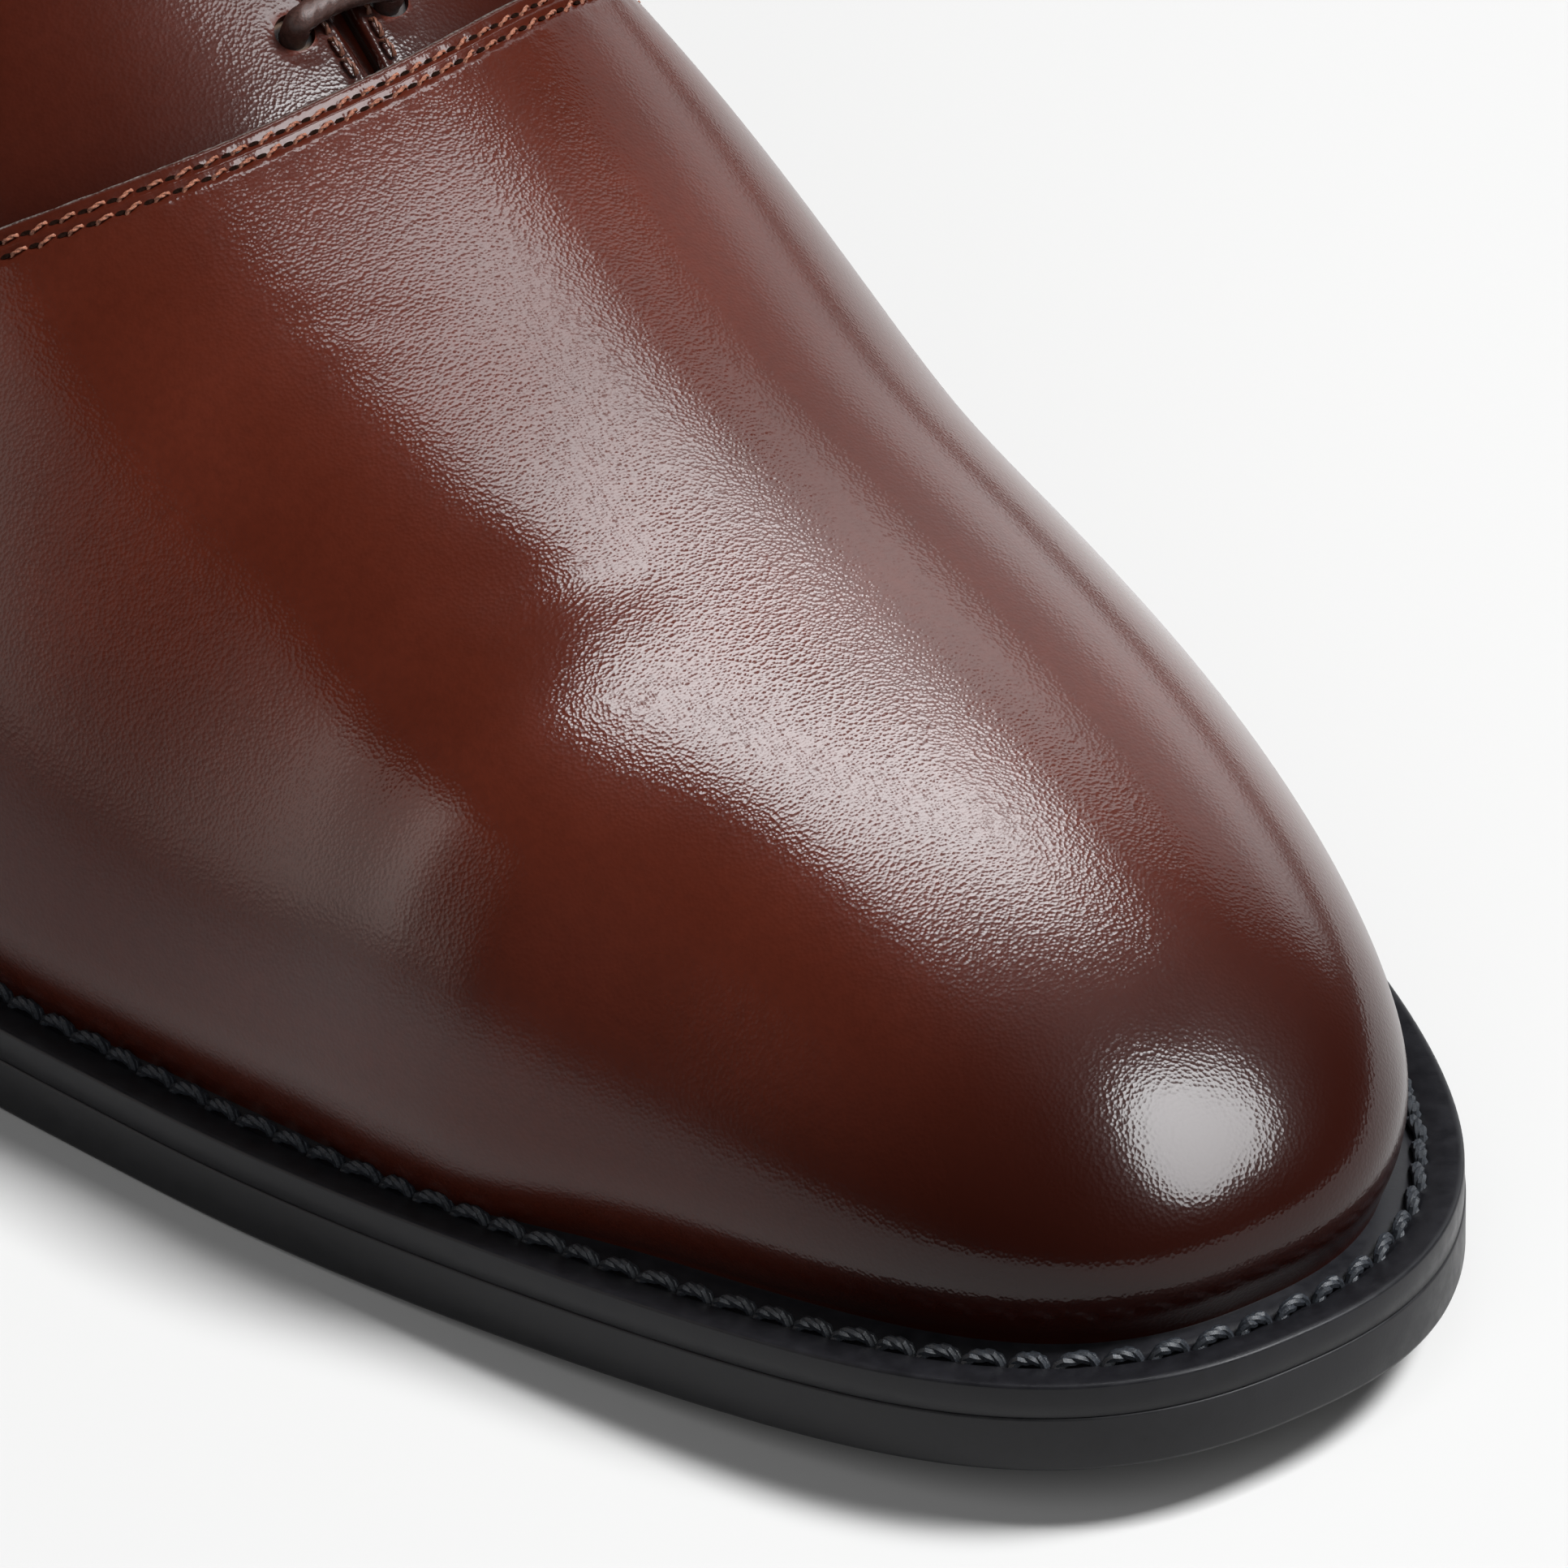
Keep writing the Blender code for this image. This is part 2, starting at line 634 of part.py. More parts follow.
def build_lace(collection):
    """Straight bars of the lace: up through one eyelet, over the slit and down the other."""
    material = principled("lace_waxed", (0.030, 0.012, 0.008), 0.5)
    holes = eyelets()
    for number in range(1, EYELETS + 1):
        (outer, outer_up), (inner, inner_up) = [
            (centre, normal) for n, _, centre, normal in holes if n == number
        ]
        over = LACE / 2 + GAP
        x = float((outer[0] + inner[0]) / 2)
        crest, crest_up = surface_frame(x, 1, SMALL_STEP)
        crest = crest + (over - VAMP_STEP) * crest_up
        start = outer + over * outer_up
        end = inner + over * inner_up
        control = 2 * crest - (start + end) / 2
        t = np.linspace(0, 1, LACE_POINTS)[:, None]
        arch = (1 - t) ** 2 * start + 2 * t * (1 - t) * control + t**2 * end
        depth = WALL - VAMP_STEP - GAP
        path = np.concatenate([[outer - depth * outer_up], arch, [inner - depth * inner_up]])
        curve = bpy.data.curves.new(f"lace_bar_{number}", "CURVE")
        curve.dimensions = "3D"
        curve.bevel_depth = LACE / 2 * MM
        curve.bevel_resolution = LACE_SEGMENTS
        curve.use_fill_caps = True
        line = curve.splines.new("POLY")
        line.points.add(len(path) - 1)
        for point, place in zip(line.points, placed(path)):
            point.co = (*place, 1.0)
        curve.materials.append(material)
        collection.objects.link(bpy.data.objects.new(f"lace_bar_{number}", curve))


def main():
    clear_scene()
    shoe = new_collection("oxford_shoe")
    cutters = new_collection("cutters")
    cutters.hide_render = True
    build_outsole(shoe)
    build_welt(shoe)
    build_heel(shoe)
    build_insole(shoe)
    build_upper(shoe, cutters)
    build_tongue(shoe)
    build_lace(shoe)


main()
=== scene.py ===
"""Looks of the plain-toe oxford shoe: leather panels, seams, lace, welted sole, studio light and camera.

Shapes are worked out in millimetres from the heel, as the solids are, and placed in the frame's metres.
"""

import math

import bmesh
import bpy
import numpy as np
from mathutils import Matrix, Vector, kdtree


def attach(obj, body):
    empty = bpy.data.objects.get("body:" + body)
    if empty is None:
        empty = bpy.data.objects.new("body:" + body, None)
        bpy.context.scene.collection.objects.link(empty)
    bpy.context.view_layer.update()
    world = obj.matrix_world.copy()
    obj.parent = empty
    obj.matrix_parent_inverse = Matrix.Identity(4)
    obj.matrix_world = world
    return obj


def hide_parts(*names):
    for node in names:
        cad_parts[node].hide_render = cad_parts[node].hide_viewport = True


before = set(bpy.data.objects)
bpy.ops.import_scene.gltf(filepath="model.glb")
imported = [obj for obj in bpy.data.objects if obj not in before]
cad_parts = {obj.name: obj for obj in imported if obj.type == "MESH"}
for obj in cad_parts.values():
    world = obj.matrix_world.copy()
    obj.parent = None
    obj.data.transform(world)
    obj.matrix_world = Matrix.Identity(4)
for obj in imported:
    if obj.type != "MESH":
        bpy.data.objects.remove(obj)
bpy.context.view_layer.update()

MM = 0.001

# Driving dimensions of the sole
LENGTH = 302.0
OUTSOLE = 5.0
WELT = 2.8
GAP = 0.3
WELT_WIDTH = 13.0
HEEL_SEAT = 20.5
HEEL_SLOPE = 0.05
HEEL_BREAST = 74.0
BALL_BACK = 172.0
BALL_FRONT = 215.0
TOE_SPRING = 6.0
TOP_LIFT = 6.0
HEEL_TAPER = 2.0
HEEL_INSET = 0.6

# The two ends of the outline close as superellipses
TOE_REACH = 98.5
TOE_POWER = 2.4
HEEL_REACH = 40.0
HEEL_POWER = 2.1

# Driving dimensions of the upper
WALL = 3.0
VAMP_STEP = 1.2
LINING = 0.7
TUCK = 2.2
TUCK_HEIGHT = 9.0
BACK_LEAN = 2.5
BACK_LEAN_FROM = 20.0
BACK_LEAN_OVER = 40.0
SEAM_CREST = 180.0
SEAM_CREST_AT = -0.12
SEAM_SWEEP_OUTER = 67.0
SEAM_SWEEP_INNER = 31.0
SLIT_AT_THROAT = 1.4
SLIT_AT_TOP = 6.0
FACING_TOP = 122.0
UNDERLAP = 7.0
SKIRT = 0.6

# Insole, tongue and lace
INSOLE = 2.5
INSOLE_CLEARANCE = 1.0
TONGUE = 2.0
TONGUE_CLEARANCE = 0.5
TONGUE_DROP = 1.3
TONGUE_FRONT = 190.0
TONGUE_BACK = 111.0
TONGUE_HALF_FRONT = 15.0
TONGUE_HALF_BACK = 24.0
TONGUE_CORNER = 17.0
TONGUE_EDGE = 0.9
LACE = 2.4
LACE_PLAIT = 0.07
LACE_PLAIT_TURNS = 37.8
LACE_SMOOTHING = 6
EYELET_HOLE = 3.4
EYELETS = 5
FIRST_EYELET = 174.0
LAST_EYELET = 129.0
EYELET_FROM_SLIT = 3.6

# Seams
SEAM_ROWS = (1.3, 2.6)
SEAM_ROW_END = 0.985
EDGE_ROW = 1.2
EDGE_ROW_FROM_THROAT = 0.5
EDGE_NORMAL_COLUMN = 6
WELT_ROW = 3.7
WELT_ROW_PAST_BREAST = 6.0

# Pitch, length, thread radius and slant of each kind of stitch, and how deep its path lies
SEAM_STITCH = (2.45, 1.55, 0.18, 0.22)
EDGE_STITCH = (2.1, 1.6, 0.22, 0.1)
WELT_STITCH = (3.6, 3.1, 0.55, 0.3)
SEAM_PITCH = SEAM_STITCH[0]
EDGE_PITCH = EDGE_STITCH[0]
SEAM_SUNK = 0.12
EDGE_SUNK = 0.1
WELT_SUNK = 0.35

# Form of one stitch, in shares of its length, its slant or its thread's radius
STITCH_ARCH = 1.15
STITCH_DIP = 2.3
PLY_TWIST = 0.55
PLY_SWING = 0.42
PLY_RADIUS = 0.66
UNEVEN_STEP = 2.4
UNEVEN_LENGTH = 0.09
UNEVEN_SLANT = 0.5

# Needle holes
NEEDLE_BEHIND = 0.32
NEEDLE_LENGTH = 0.46
NEEDLE_WIDTH = 0.2
NEEDLE_DEPTH = 0.25
NEEDLE_LIFT = 0.02

# Relief of the leather. The dip at the seam has the distance over which it fades.
SHEET_GAP = 0.03
VAMP_EDGE = 0.45
QUARTER_EDGE = 0.55
BACK_SEAM = 0.7
BACK_SEAM_EDGE = 0.6
SEAM_DEPTH = 0.3
EDGE_DEPTH = 0.16
STITCH_GROOVE = 0.42
BETWEEN_HOLES = 0.45
HOLE_PULL = 0.55
ROW_RIDGE = 0.10
ROW_RIDGE_WIDTH = 0.35
RIPPLE = 0.015
RIPPLE_AT = 3.6
RIPPLE_WIDTH = 1.1
RIPPLE_SECOND = 0.6
RIPPLE_PITCH = 3.7
SEAM_DIP = (0.7, 5.5)
EYELET_DIP = 0.12
EYELET_DIP_WIDTH = 0.5
LINING_DROP = 0.4

# Shades of the leather: an amount and the range of stations, heights or distances over which it grows, or
# an amount and the distance over which it fades
# The toe's darkening is partly burnish and partly painted shade
TOE_BURNISH_AND_SHADE = (0.95, 256.0, 293.0)
# The darkening over the lowest part of the upper, by the welt, is painted shade
FOOT_SHADE = (0.35, 9.0, 0.0)
FACING_BURNISH = (0.4, 60.0, 140.0)
VAMP_SEAM_BURNISH = (0.4, 4.0)
QUARTER_SEAM_BURNISH = (0.4, 6.0)
TOP_BURNISH = (0.35, 3.0)
TONGUE_BURNISH = 0.35
VAMP_BURNISH_AND_SHADE_MOST = 0.95
QUARTER_BURNISH_AND_SHADE_MOST = 0.9
RAW_EDGE = (1.0, 0.34, 0.08)
BACK_POLISH = 0.43
FRONT_POLISH = (0.57, 206.0, 240.0)
LOW_POLISH_BACK = 0.8
LOW_POLISH_DROP = (0.4, 205.0, 262.0)
LOW_POLISH_END = (1.0, 8.0, 27.0)
LOW_HAZE = (1.0, 34.0, 12.0)
HAZE_END = (1.0, 285.0, 255.0)
QUARTER_POLISH = 0.22
QUARTER_SEAM_POLISH = (0.78, 5.0)
TONGUE_POLISH = 0.7
# Painted shade on the lining where it shows in the lace holes and along the slit
SLIT_SHADE_EDGE = (1.0, 2.5, 1.0)
SLIT_SHADE_FACING = (1.0, 112.0, 124.0)
LACE_HOLE_SHADE = (1.0, 3.4, 2.2)

# Mesh density
VAMP_COLUMNS = 281
CAP_ROWS = 84
VAMP_ROWS = 58
VAMP_CROWDING = 2.2
QUARTER_ROWS = 170
HEEL_ROWS = 56
QUARTER_COLUMNS = 96
QUARTER_CROWDING = 2.6
LINING_COLUMNS = 81
LINING_CAP_ROWS = 40
LINING_ROWS = 24
TONGUE_ROWS = 120
TONGUE_COLUMNS = 61
TONGUE_CROWDING = 1.6
OUTLINE_COUNT = 220
HEEL_COUNT = 64
SEAM_COUNT = 2001
STITCH_COUNT = 9
PLY_SIDES = 7
NEEDLE_SIDES = 12
LACE_COUNT = 90
LACE_ARCH_COUNT = 41
LACE_SIDES = 24
LINE_STEP = 0.1
STITCH_STEP = 0.05
BISECTIONS = 40
SMALL_STEP = 1e-3

# A row for each section, from the heel to the toe. The sole edge lies half_width to each side of the
# centre, and the upper is inset from it. Ridge is the height of the upper's top line over the floor,
# carried on past the collar as on a last, and ridge_shift moves that line to the inner side.
SECTION_COLUMNS = (
    "station", "centre", "half_width", "outer_inset", "inner_inset",
    "ridge", "ridge_shift", "side_power", "crown_power",
)
SECTIONS = (
    (0.0, -0.5, 34.0, 2.2, 2.2, 134.0, 0.0, 2.3, 1.9),
    (40.0, -0.5, 35.0, 2.2, 2.2, 136.0, 0.0, 2.3, 1.9),
    (75.0, -1.5, 33.5, 1.4, 1.8, 133.0, 1.2, 2.3, 2.0),
    (110.0, -3.8, 32.5, 0.8, 1.2, 113.0, 3.5, 2.3, 2.2),
    (140.0, -6.3, 39.0, 1.2, 0.8, 93.0, 5.5, 2.35, 2.15),
    (160.0, -6.3, 45.5, 1.6, 0.5, 79.0, 6.6, 2.45, 2.2),
    (175.0, -5.6, 49.0, 1.8, 0.8, 69.2, 6.8, 2.5, 2.25),
    (188.0, -4.4, 50.4, 1.9, 2.3, 63.0, 5.9, 2.45, 2.2),
    (200.0, -2.9, 50.0, 2.1, 3.8, 58.4, 4.8, 2.35, 2.15),
    (212.0, -1.4, 48.6, 2.4, 4.6, 54.3, 3.8, 2.27, 2.15),
    (225.0, 0.0, 47.0, 2.9, 4.3, 50.6, 2.6, 2.32, 2.25),
    (250.0, 2.4, 43.8, 4.1, 3.7, 45.7, 1.4, 2.45, 2.45),
    (275.0, 3.7, 41.8, 4.4, 4.0, 42.7, 2.3, 2.5, 2.6),
    (302.0, 3.4, 42.0, 4.0, 4.0, 40.6, 5.0, 2.55, 2.75),
)

# A row for each turn of the top line, seen from the side
TOP_LINE = (
    (0.0, 92.0),
    (20.0, 88.0),
    (45.0, 80.0),
    (70.0, 78.0),
    (90.0, 84.0),
    (105.0, 93.0),
    (120.0, 104.5),
    (135.0, 119.0),
)


def spline(stations, values):
    """The natural cubic spline through a short table."""
    x = np.asarray(stations, float)
    y = np.asarray(values, float)
    step = np.diff(x)
    slope = np.diff(y) / step
    count = len(x)
    matrix = np.eye(count)
    right = np.zeros(count)
    for i in range(1, count - 1):
        matrix[i, i - 1:i + 2] = step[i - 1], 2 * (step[i - 1] + step[i]), step[i]
        right[i] = 6 * (slope[i] - slope[i - 1])
    bend = np.linalg.solve(matrix, right)

    def curve(at):
        at = np.asarray(at, float)
        k = np.clip(np.searchsorted(x, at) - 1, 0, count - 2)
        after = at - x[k]
        before = x[k + 1] - at
        return (
            (bend[k] * before**3 + bend[k + 1] * after**3) / (6 * step[k])
            + (y[k] / step[k] - bend[k] * step[k] / 6) * before
            + (y[k + 1] / step[k] - bend[k + 1] * step[k] / 6) * after
        )

    return curve


STATIONS = [row[0] for row in SECTIONS]
SECTION = {
    name: spline(STATIONS, [row[i] for row in SECTIONS])
    for i, name in enumerate(SECTION_COLUMNS)
}
top_line = spline(*zip(*TOP_LINE))

TOE_BASE = LENGTH - TOE_REACH
TOE_INSET_UPPER = float(SECTION["outer_inset"](LENGTH))
HEEL_INSET_UPPER = float(SECTION["outer_inset"](0.0))
TOE_UPPER = TOE_REACH - TOE_INSET_UPPER
HEEL_UPPER = HEEL_REACH - HEEL_INSET_UPPER
FEATHER = OUTSOLE + WELT + 2 * GAP
WELT_TOP = OUTSOLE + GAP + WELT


# The sole's outline

def sole_bottom(x):
    """Height of the outsole's underside: heel seat, waist, flat ball and toe spring."""
    x = np.asarray(x, float)
    seat = HEEL_SEAT + HEEL_SLOPE * (HEEL_BREAST - x)
    span = BALL_BACK - HEEL_BREAST
    t = np.clip((x - HEEL_BREAST) / span, 0, 1)
    waist = HEEL_SEAT * (1 - t) ** 2 * (1 + 2 * t) - HEEL_SLOPE * span * t * (1 - t) ** 2
    spring = TOE_SPRING * (np.clip(x - BALL_FRONT, 0, None) / (LENGTH - BALL_FRONT)) ** 2
    return np.where(x < HEEL_BREAST, seat, waist + spring)


def closing(x, inset):
    """How far the outline has closed at a station: 1 along the foot, 0 at the tips."""
    toe = np.clip((x - TOE_BASE) / (TOE_REACH - inset), 0, 1)
    heel = np.clip((HEEL_REACH - x) / (HEEL_REACH - inset), 0, 1)
    return (1 - toe**TOE_POWER) ** (1 / TOE_POWER) * (1 - heel**HEEL_POWER) ** (1 / HEEL_POWER)


def edge(x, side, inset=0.0):
    """Y of the sole's edge, or of a line inset from it, on one side."""
    return SECTION["centre"](x) + side * (SECTION["half_width"](x) - inset) * closing(x, inset)


def stations(count, start=0.0, end=LENGTH):
    """Stations from heel to toe that crowd towards both ends."""
    return start + (end - start) * (1 - np.cos(np.linspace(0, math.pi, count))) / 2


def outline_ring(xs, outer_inset, inner_inset):
    """The outline as a closed ring: along the outer side to the toe, and back along the inner side."""
    outer = np.column_stack([xs, edge(xs, -1, outer_inset)])
    inner = np.column_stack([xs, edge(xs, 1, inner_inset)])
    return np.concatenate([outer, inner[-2:0:-1]])


EDGE_STATIONS = stations(OUTLINE_COUNT)
X_MIDDLE = LENGTH / 2
Y_MIDDLE = (edge(EDGE_STATIONS, -1).min() + edge(EDGE_STATIONS, 1).max()) / 2


def placed(points):
    """Millimetres from the heel to metres in the frame."""
    return (np.asarray(points, float) - (X_MIDDLE, Y_MIDDLE, 0.0)) * MM


# The last, the surface that the upper is drawn over

def upper_width(x):
    """Half the width of the upper where it is widest."""
    return SECTION["half_width"](x) - (SECTION["outer_inset"](x) + SECTION["inner_inset"](x)) / 2


def upper_centre(x):
    return SECTION["centre"](x) + (SECTION["outer_inset"](x) - SECTION["inner_inset"](x)) / 2


def outline_normal(reach, side, width):
    """Which way the outline faces, on the sides and round both ends."""
    toe = (np.clip(reach, 0, None) / TOE_UPPER) ** (TOE_POWER - 1) / TOE_UPPER
    heel = (np.clip(-reach, 0, None) / HEEL_UPPER) ** (HEEL_POWER - 1) / HEEL_UPPER
    aside = np.sign(side) * np.abs(side) ** (TOE_POWER - 1) / width
    size = np.hypot(toe - heel, aside)
    size = np.where(size > 0, size, 1.0)
    return (toe - heel) / size, aside / size


def last_points(base, reach, side, sigma):
    """Points on the last. Sigma runs from 0 on the ridge to 1 on the feather edge."""
    base, reach, side, sigma = np.broadcast_arrays(base, reach, side, sigma)
    radius = np.sin(sigma * math.pi / 2)
    x = base + reach * radius
    width = upper_width(x)
    foot = sole_bottom(x) + FEATHER
    rise = SECTION["ridge"](x) - foot
    crown = np.clip(1 - radius ** SECTION["side_power"](x), 0, 1) ** (1 / SECTION["crown_power"](x))
    height = rise * crown
    shift = SECTION["ridge_shift"](x) * (1 - radius**2)
    y = upper_centre(x) + width * side * radius + shift
    along, aside = outline_normal(reach, side, width)
    tuck = TUCK * np.clip(1 - height / TUCK_HEIGHT, 0, 1) ** 2
    back = np.clip(-reach / HEEL_UPPER, 0, 1)
    lean = BACK_LEAN * back * (np.clip(height - BACK_LEAN_FROM, 0, None) / BACK_LEAN_OVER) ** 2
    return np.stack([x - tuck * along + lean, y - tuck * aside, foot + height], axis=-1)


def seam_station(across):
    """Where the vamp's edge crosses each side, from -1 on the outer feather edge to 1 on the inner one."""
    off_crest = np.asarray(across) - SEAM_CREST_AT
    sweep = np.where(off_crest < 0, SEAM_SWEEP_OUTER, SEAM_SWEEP_INNER)
    return SEAM_CREST - sweep * off_crest**2


THROAT = float(seam_station(0.0))


def slit(x):
    """Width of the lacing slit."""
    t = np.clip((THROAT - x) / (THROAT - FACING_TOP), 0, 1)
    return SLIT_AT_THROAT + (SLIT_AT_TOP - SLIT_AT_THROAT) * t


def sigma_off_ridge(x, distance):
    """The share of the way down the side at which a point lies this far from the ridge."""
    return 2 / math.pi * np.arcsin(distance / upper_width(x))


def round_toe(across, along):
    """Spreads a square grid over the round toe, so that no row closes to a point."""
    ahead = along * np.sqrt(1 - across**2 / 2)
    aside = across * np.sqrt(1 - along**2 / 2)
    sigma = np.hypot(ahead, aside)
    safe = np.where(sigma > 0, sigma, 1.0)
    turn = 2 / TOE_POWER
    reach = TOE_UPPER * (np.abs(ahead) / safe) ** turn
    side = np.sign(aside) * (np.abs(aside) / safe) ** turn
    return last_points(TOE_BASE, reach, side, np.minimum(sigma, 1.0))


def on_last(x, across):
    """Points at stations and signed shares across, with their outward normals and forward directions."""
    across = np.where(across == 0, SMALL_STEP, across)
    side = np.sign(across)
    sigma = np.abs(across)
    point = last_points(x, 0.0, side, sigma)
    ahead = last_points(x + SMALL_STEP, 0.0, side, sigma) - point
    up = point - last_points(x, 0.0, side, np.minimum(sigma + SMALL_STEP, 1.0))
    normal = unit(np.cross(ahead, up)) * -side[..., None]
    return point, normal, ahead / SMALL_STEP


# Small tools for points, grids and meshes

def unit(vectors):
    return vectors / np.maximum(np.linalg.norm(vectors, axis=-1, keepdims=True), 1e-12)


def blend(first, second, share):
    return first + (second - first) * share


def crowd_end(count, strength):
    """Shares from 0 to 1 that crowd towards 1."""
    t = np.linspace(0, 1, count)
    return 1 - np.expm1(strength * (1 - t)) / np.expm1(strength)


def crowd_start(count, strength):
    """Shares from 0 to 1 that crowd towards 0."""
    return 1 - crowd_end(count, strength)[::-1]


def bump_at(distance, place, width):
    """A soft bump of height 1 at a place."""
    return np.exp(-(((distance - place) / width) ** 2))


def arc_lengths(path):
    """How far along a path each of its points lies."""
    return np.concatenate([[0.0], np.cumsum(np.linalg.norm(np.diff(path, axis=0), axis=1))])


def resample(path, step):
    """The path with a point every step, and how far along each one lies."""
    arc = arc_lengths(path)
    at = np.linspace(0, arc[-1], max(int(round(arc[-1] / step)), 1) + 1)
    return np.stack([np.interp(at, arc, path[:, k]) for k in range(path.shape[1])], axis=1), at


def distance_to(line, points):
    """How far each point lies from a dense line, and the number of the line's nearest point."""
    tree = kdtree.KDTree(len(line))
    for i, p in enumerate(line):
        tree.insert(p, i)
    tree.balance()
    flat = points.reshape(-1, 3)
    found = [tree.find(p) for p in flat]
    distance = np.array([f[2] for f in found]).reshape(points.shape[:-1])
    index = np.array([f[1] for f in found]).reshape(points.shape[:-1])
    return distance, index


def grid_normals(grid):
    """Normals of a grid of points, averaged over the faces round each."""
    face = np.cross(grid[1:, 1:] - grid[:-1, :-1], grid[1:, :-1] - grid[:-1, 1:])
    total = np.zeros_like(grid)
    total[:-1, :-1] += face
    total[1:, :-1] += face
    total[:-1, 1:] += face
    total[1:, 1:] += face
    return unit(total)


def grid_faces(index):
    corners = (index[:-1, :-1], index[:-1, 1:], index[1:, 1:], index[1:, :-1])
    return np.stack([c.ravel() for c in corners], axis=1)


def put_in_scene(name, data):
    item = bpy.data.objects.new(name, data)
    bpy.context.scene.collection.objects.link(item)
    return item


def add_piece(name, points, faces, material, slot=None, replaces=(), sharp=35.0, attributes=None):
    """A piece of the shoe from points in millimetres, on the shoe's body."""
    mesh = bpy.data.meshes.new(name)
    faces = [tuple(map(int, face)) for face in faces]
    mesh.from_pydata([tuple(p) for p in placed(points)], [], faces)
    shape = bmesh.new()
    shape.from_mesh(mesh)
    bmesh.ops.recalc_face_normals(shape, faces=shape.faces)
    shape.to_mesh(mesh)
    shape.free()
    for key, values in (attributes or {}).items():
        layer = mesh.attributes.new(key, "FLOAT", "POINT")
        layer.data.foreach_set("value", np.asarray(values, np.float32).ravel())
    mesh.shade_smooth()
    mesh.set_sharp_from_angle(angle=math.radians(sharp))
    mesh.materials.append(material)
    piece = put_in_scene(name, mesh)
    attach(piece, "root")
    if replaces:
        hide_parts(*replaces)
    return piece


def shell(outer, inner):
    """Points and faces of a closed sheet between two grids of the same shape."""
    rows, columns = outer.shape[:2]
    index = np.arange(rows * columns).reshape(rows, columns)
    border = np.concatenate([index[0, :-1], index[:-1, -1], index[-1, :0:-1], index[:0:-1, 0]])
    ahead = np.roll(border, -1)
    under = rows * columns
    wall = np.column_stack([ahead, border, border + under, ahead + under])
    faces = np.concatenate([grid_faces(index), grid_faces(index)[:, ::-1] + under, wall])
    return np.concatenate([outer.reshape(-1, 3), inner.reshape(-1, 3)]), faces


def joined(parts):
    """Several lots of points and faces as one."""
    points = []
    faces = []
    count = 0
    for some_points, some_faces in parts:
        points.append(some_points)
        faces += [tuple(int(k) + count for k in face) for face in some_faces]
        count += len(some_points)
    return np.concatenate(points), faces


def tube_faces(index):
    """Faces of closed tubes, from the numbers of their points by tube, ring and place on the ring."""
    wrapped = np.concatenate([index, index[:, :, :1]], axis=2)
    faces = [face for one in wrapped for face in grid_faces(one)]
    faces += [one[0] for one in index]
    faces += [one[-1][::-1] for one in index]
    return faces


def tubes(paths, across, radius, sides):
    """Closed tubes along many paths of the same length; across gives each path's sideways direction."""
    count, length = paths.shape[:2]
    tangent = unit(np.gradient(paths, axis=1))
    aside = unit(np.broadcast_to(across, paths.shape))
    up = unit(np.cross(tangent, aside))
    turn = np.linspace(0, 2 * math.pi, sides, endpoint=False)
    radius = np.broadcast_to(radius, (count, length, sides))[..., None]
    ring = np.cos(turn)[:, None] * aside[:, :, None, :] + np.sin(turn)[:, None] * up[:, :, None, :]
    points = (paths[:, :, None, :] + radius * ring).reshape(-1, 3)
    return points, tube_faces(np.arange(len(points)).reshape(count, length, sides))


# Materials

# Colours are linear. The calf and its cut edge have ramps of (position, colour) stops.
CALF = (
    (0.3, (0.035, 0.0059, 0.0027)),
    (0.55, (0.0435, 0.0075, 0.0035)),
    (0.75, (0.052, 0.0092, 0.0044)),
)
CALF_PLAIN = (0.055, 0.013, 0.006)
CALF_SPECKLE = (0.024, 0.0042, 0.0020, 1.0)
# The darkest calf colour, used for burnish and for painted shade
CALF_BURNISH_AND_SHADE = (0.009, 0.0014, 0.0007, 1.0)
CUT_EDGE = ((0.35, (0.020, 0.014, 0.012)), (0.65, (0.16, 0.145, 0.135)))
# Painted shade on the lining in the lace holes and the slit
LINING_PAINTED_SHADE = (0.008, 0.0035, 0.0025, 1.0)
# Painted shade of the needle holes
NEEDLE_HOLE_SHADE_PLAIN = (0.004, 0.002, 0.0015)
NEEDLE_HOLE_SHADE = ((0.3, (0.003, 0.0015, 0.001)), (0.7, (0.008, 0.004, 0.003)))
PEBBLE_SIZE = 0.33
COAT_ROUGHNESS = (0.1, 0.25)
PLAIN_SPECULAR = 0.5
LOW_SPECULAR = 0.1
RUBBER_SPECULAR = 0.26
SCUFF_PALE = 1.7


def new_material(name, colour, roughness, specular=PLAIN_SPECULAR):
    material = bpy.data.materials.new(name)
    material.use_nodes = True
    shader = material.node_tree.nodes["Principled BSDF"]
    shader.inputs["Base Color"].default_value = (*colour, 1.0)
    shader.inputs["Roughness"].default_value = roughness
    shader.inputs["Specular IOR Level"].default_value = specular
    return material, material.node_tree, shader


def feed(tree, shader, sockets):
    """Links an output to each named socket of the shader."""
    for key, output in sockets.items():
        tree.links.new(output, shader.inputs[key])


def add_node(tree, kind, values=None, **settings):
    """A shader node with its settings, and a value or a link for each socket."""
    node = tree.nodes.new(kind)
    for key, value in settings.items():
        setattr(node, key, value)
    for key, value in (values or {}).items():
        if isinstance(value, bpy.types.NodeSocket):
            tree.links.new(value, node.inputs[key])
        else:
            node.inputs[key].default_value = value
    return node


def place_node(tree):
    return add_node(tree, "ShaderNodeTexCoord").outputs["Object"]


def noise(tree, size_mm, detail=3.0, roughness=0.55):
    """Cloudy noise with features of about this size."""
    values = {"Vector": place_node(tree), "Scale": 1 / (size_mm * MM)}
    values.update({"Detail": detail, "Roughness": roughness})
    return add_node(tree, "ShaderNodeTexNoise", values).outputs["Fac"]


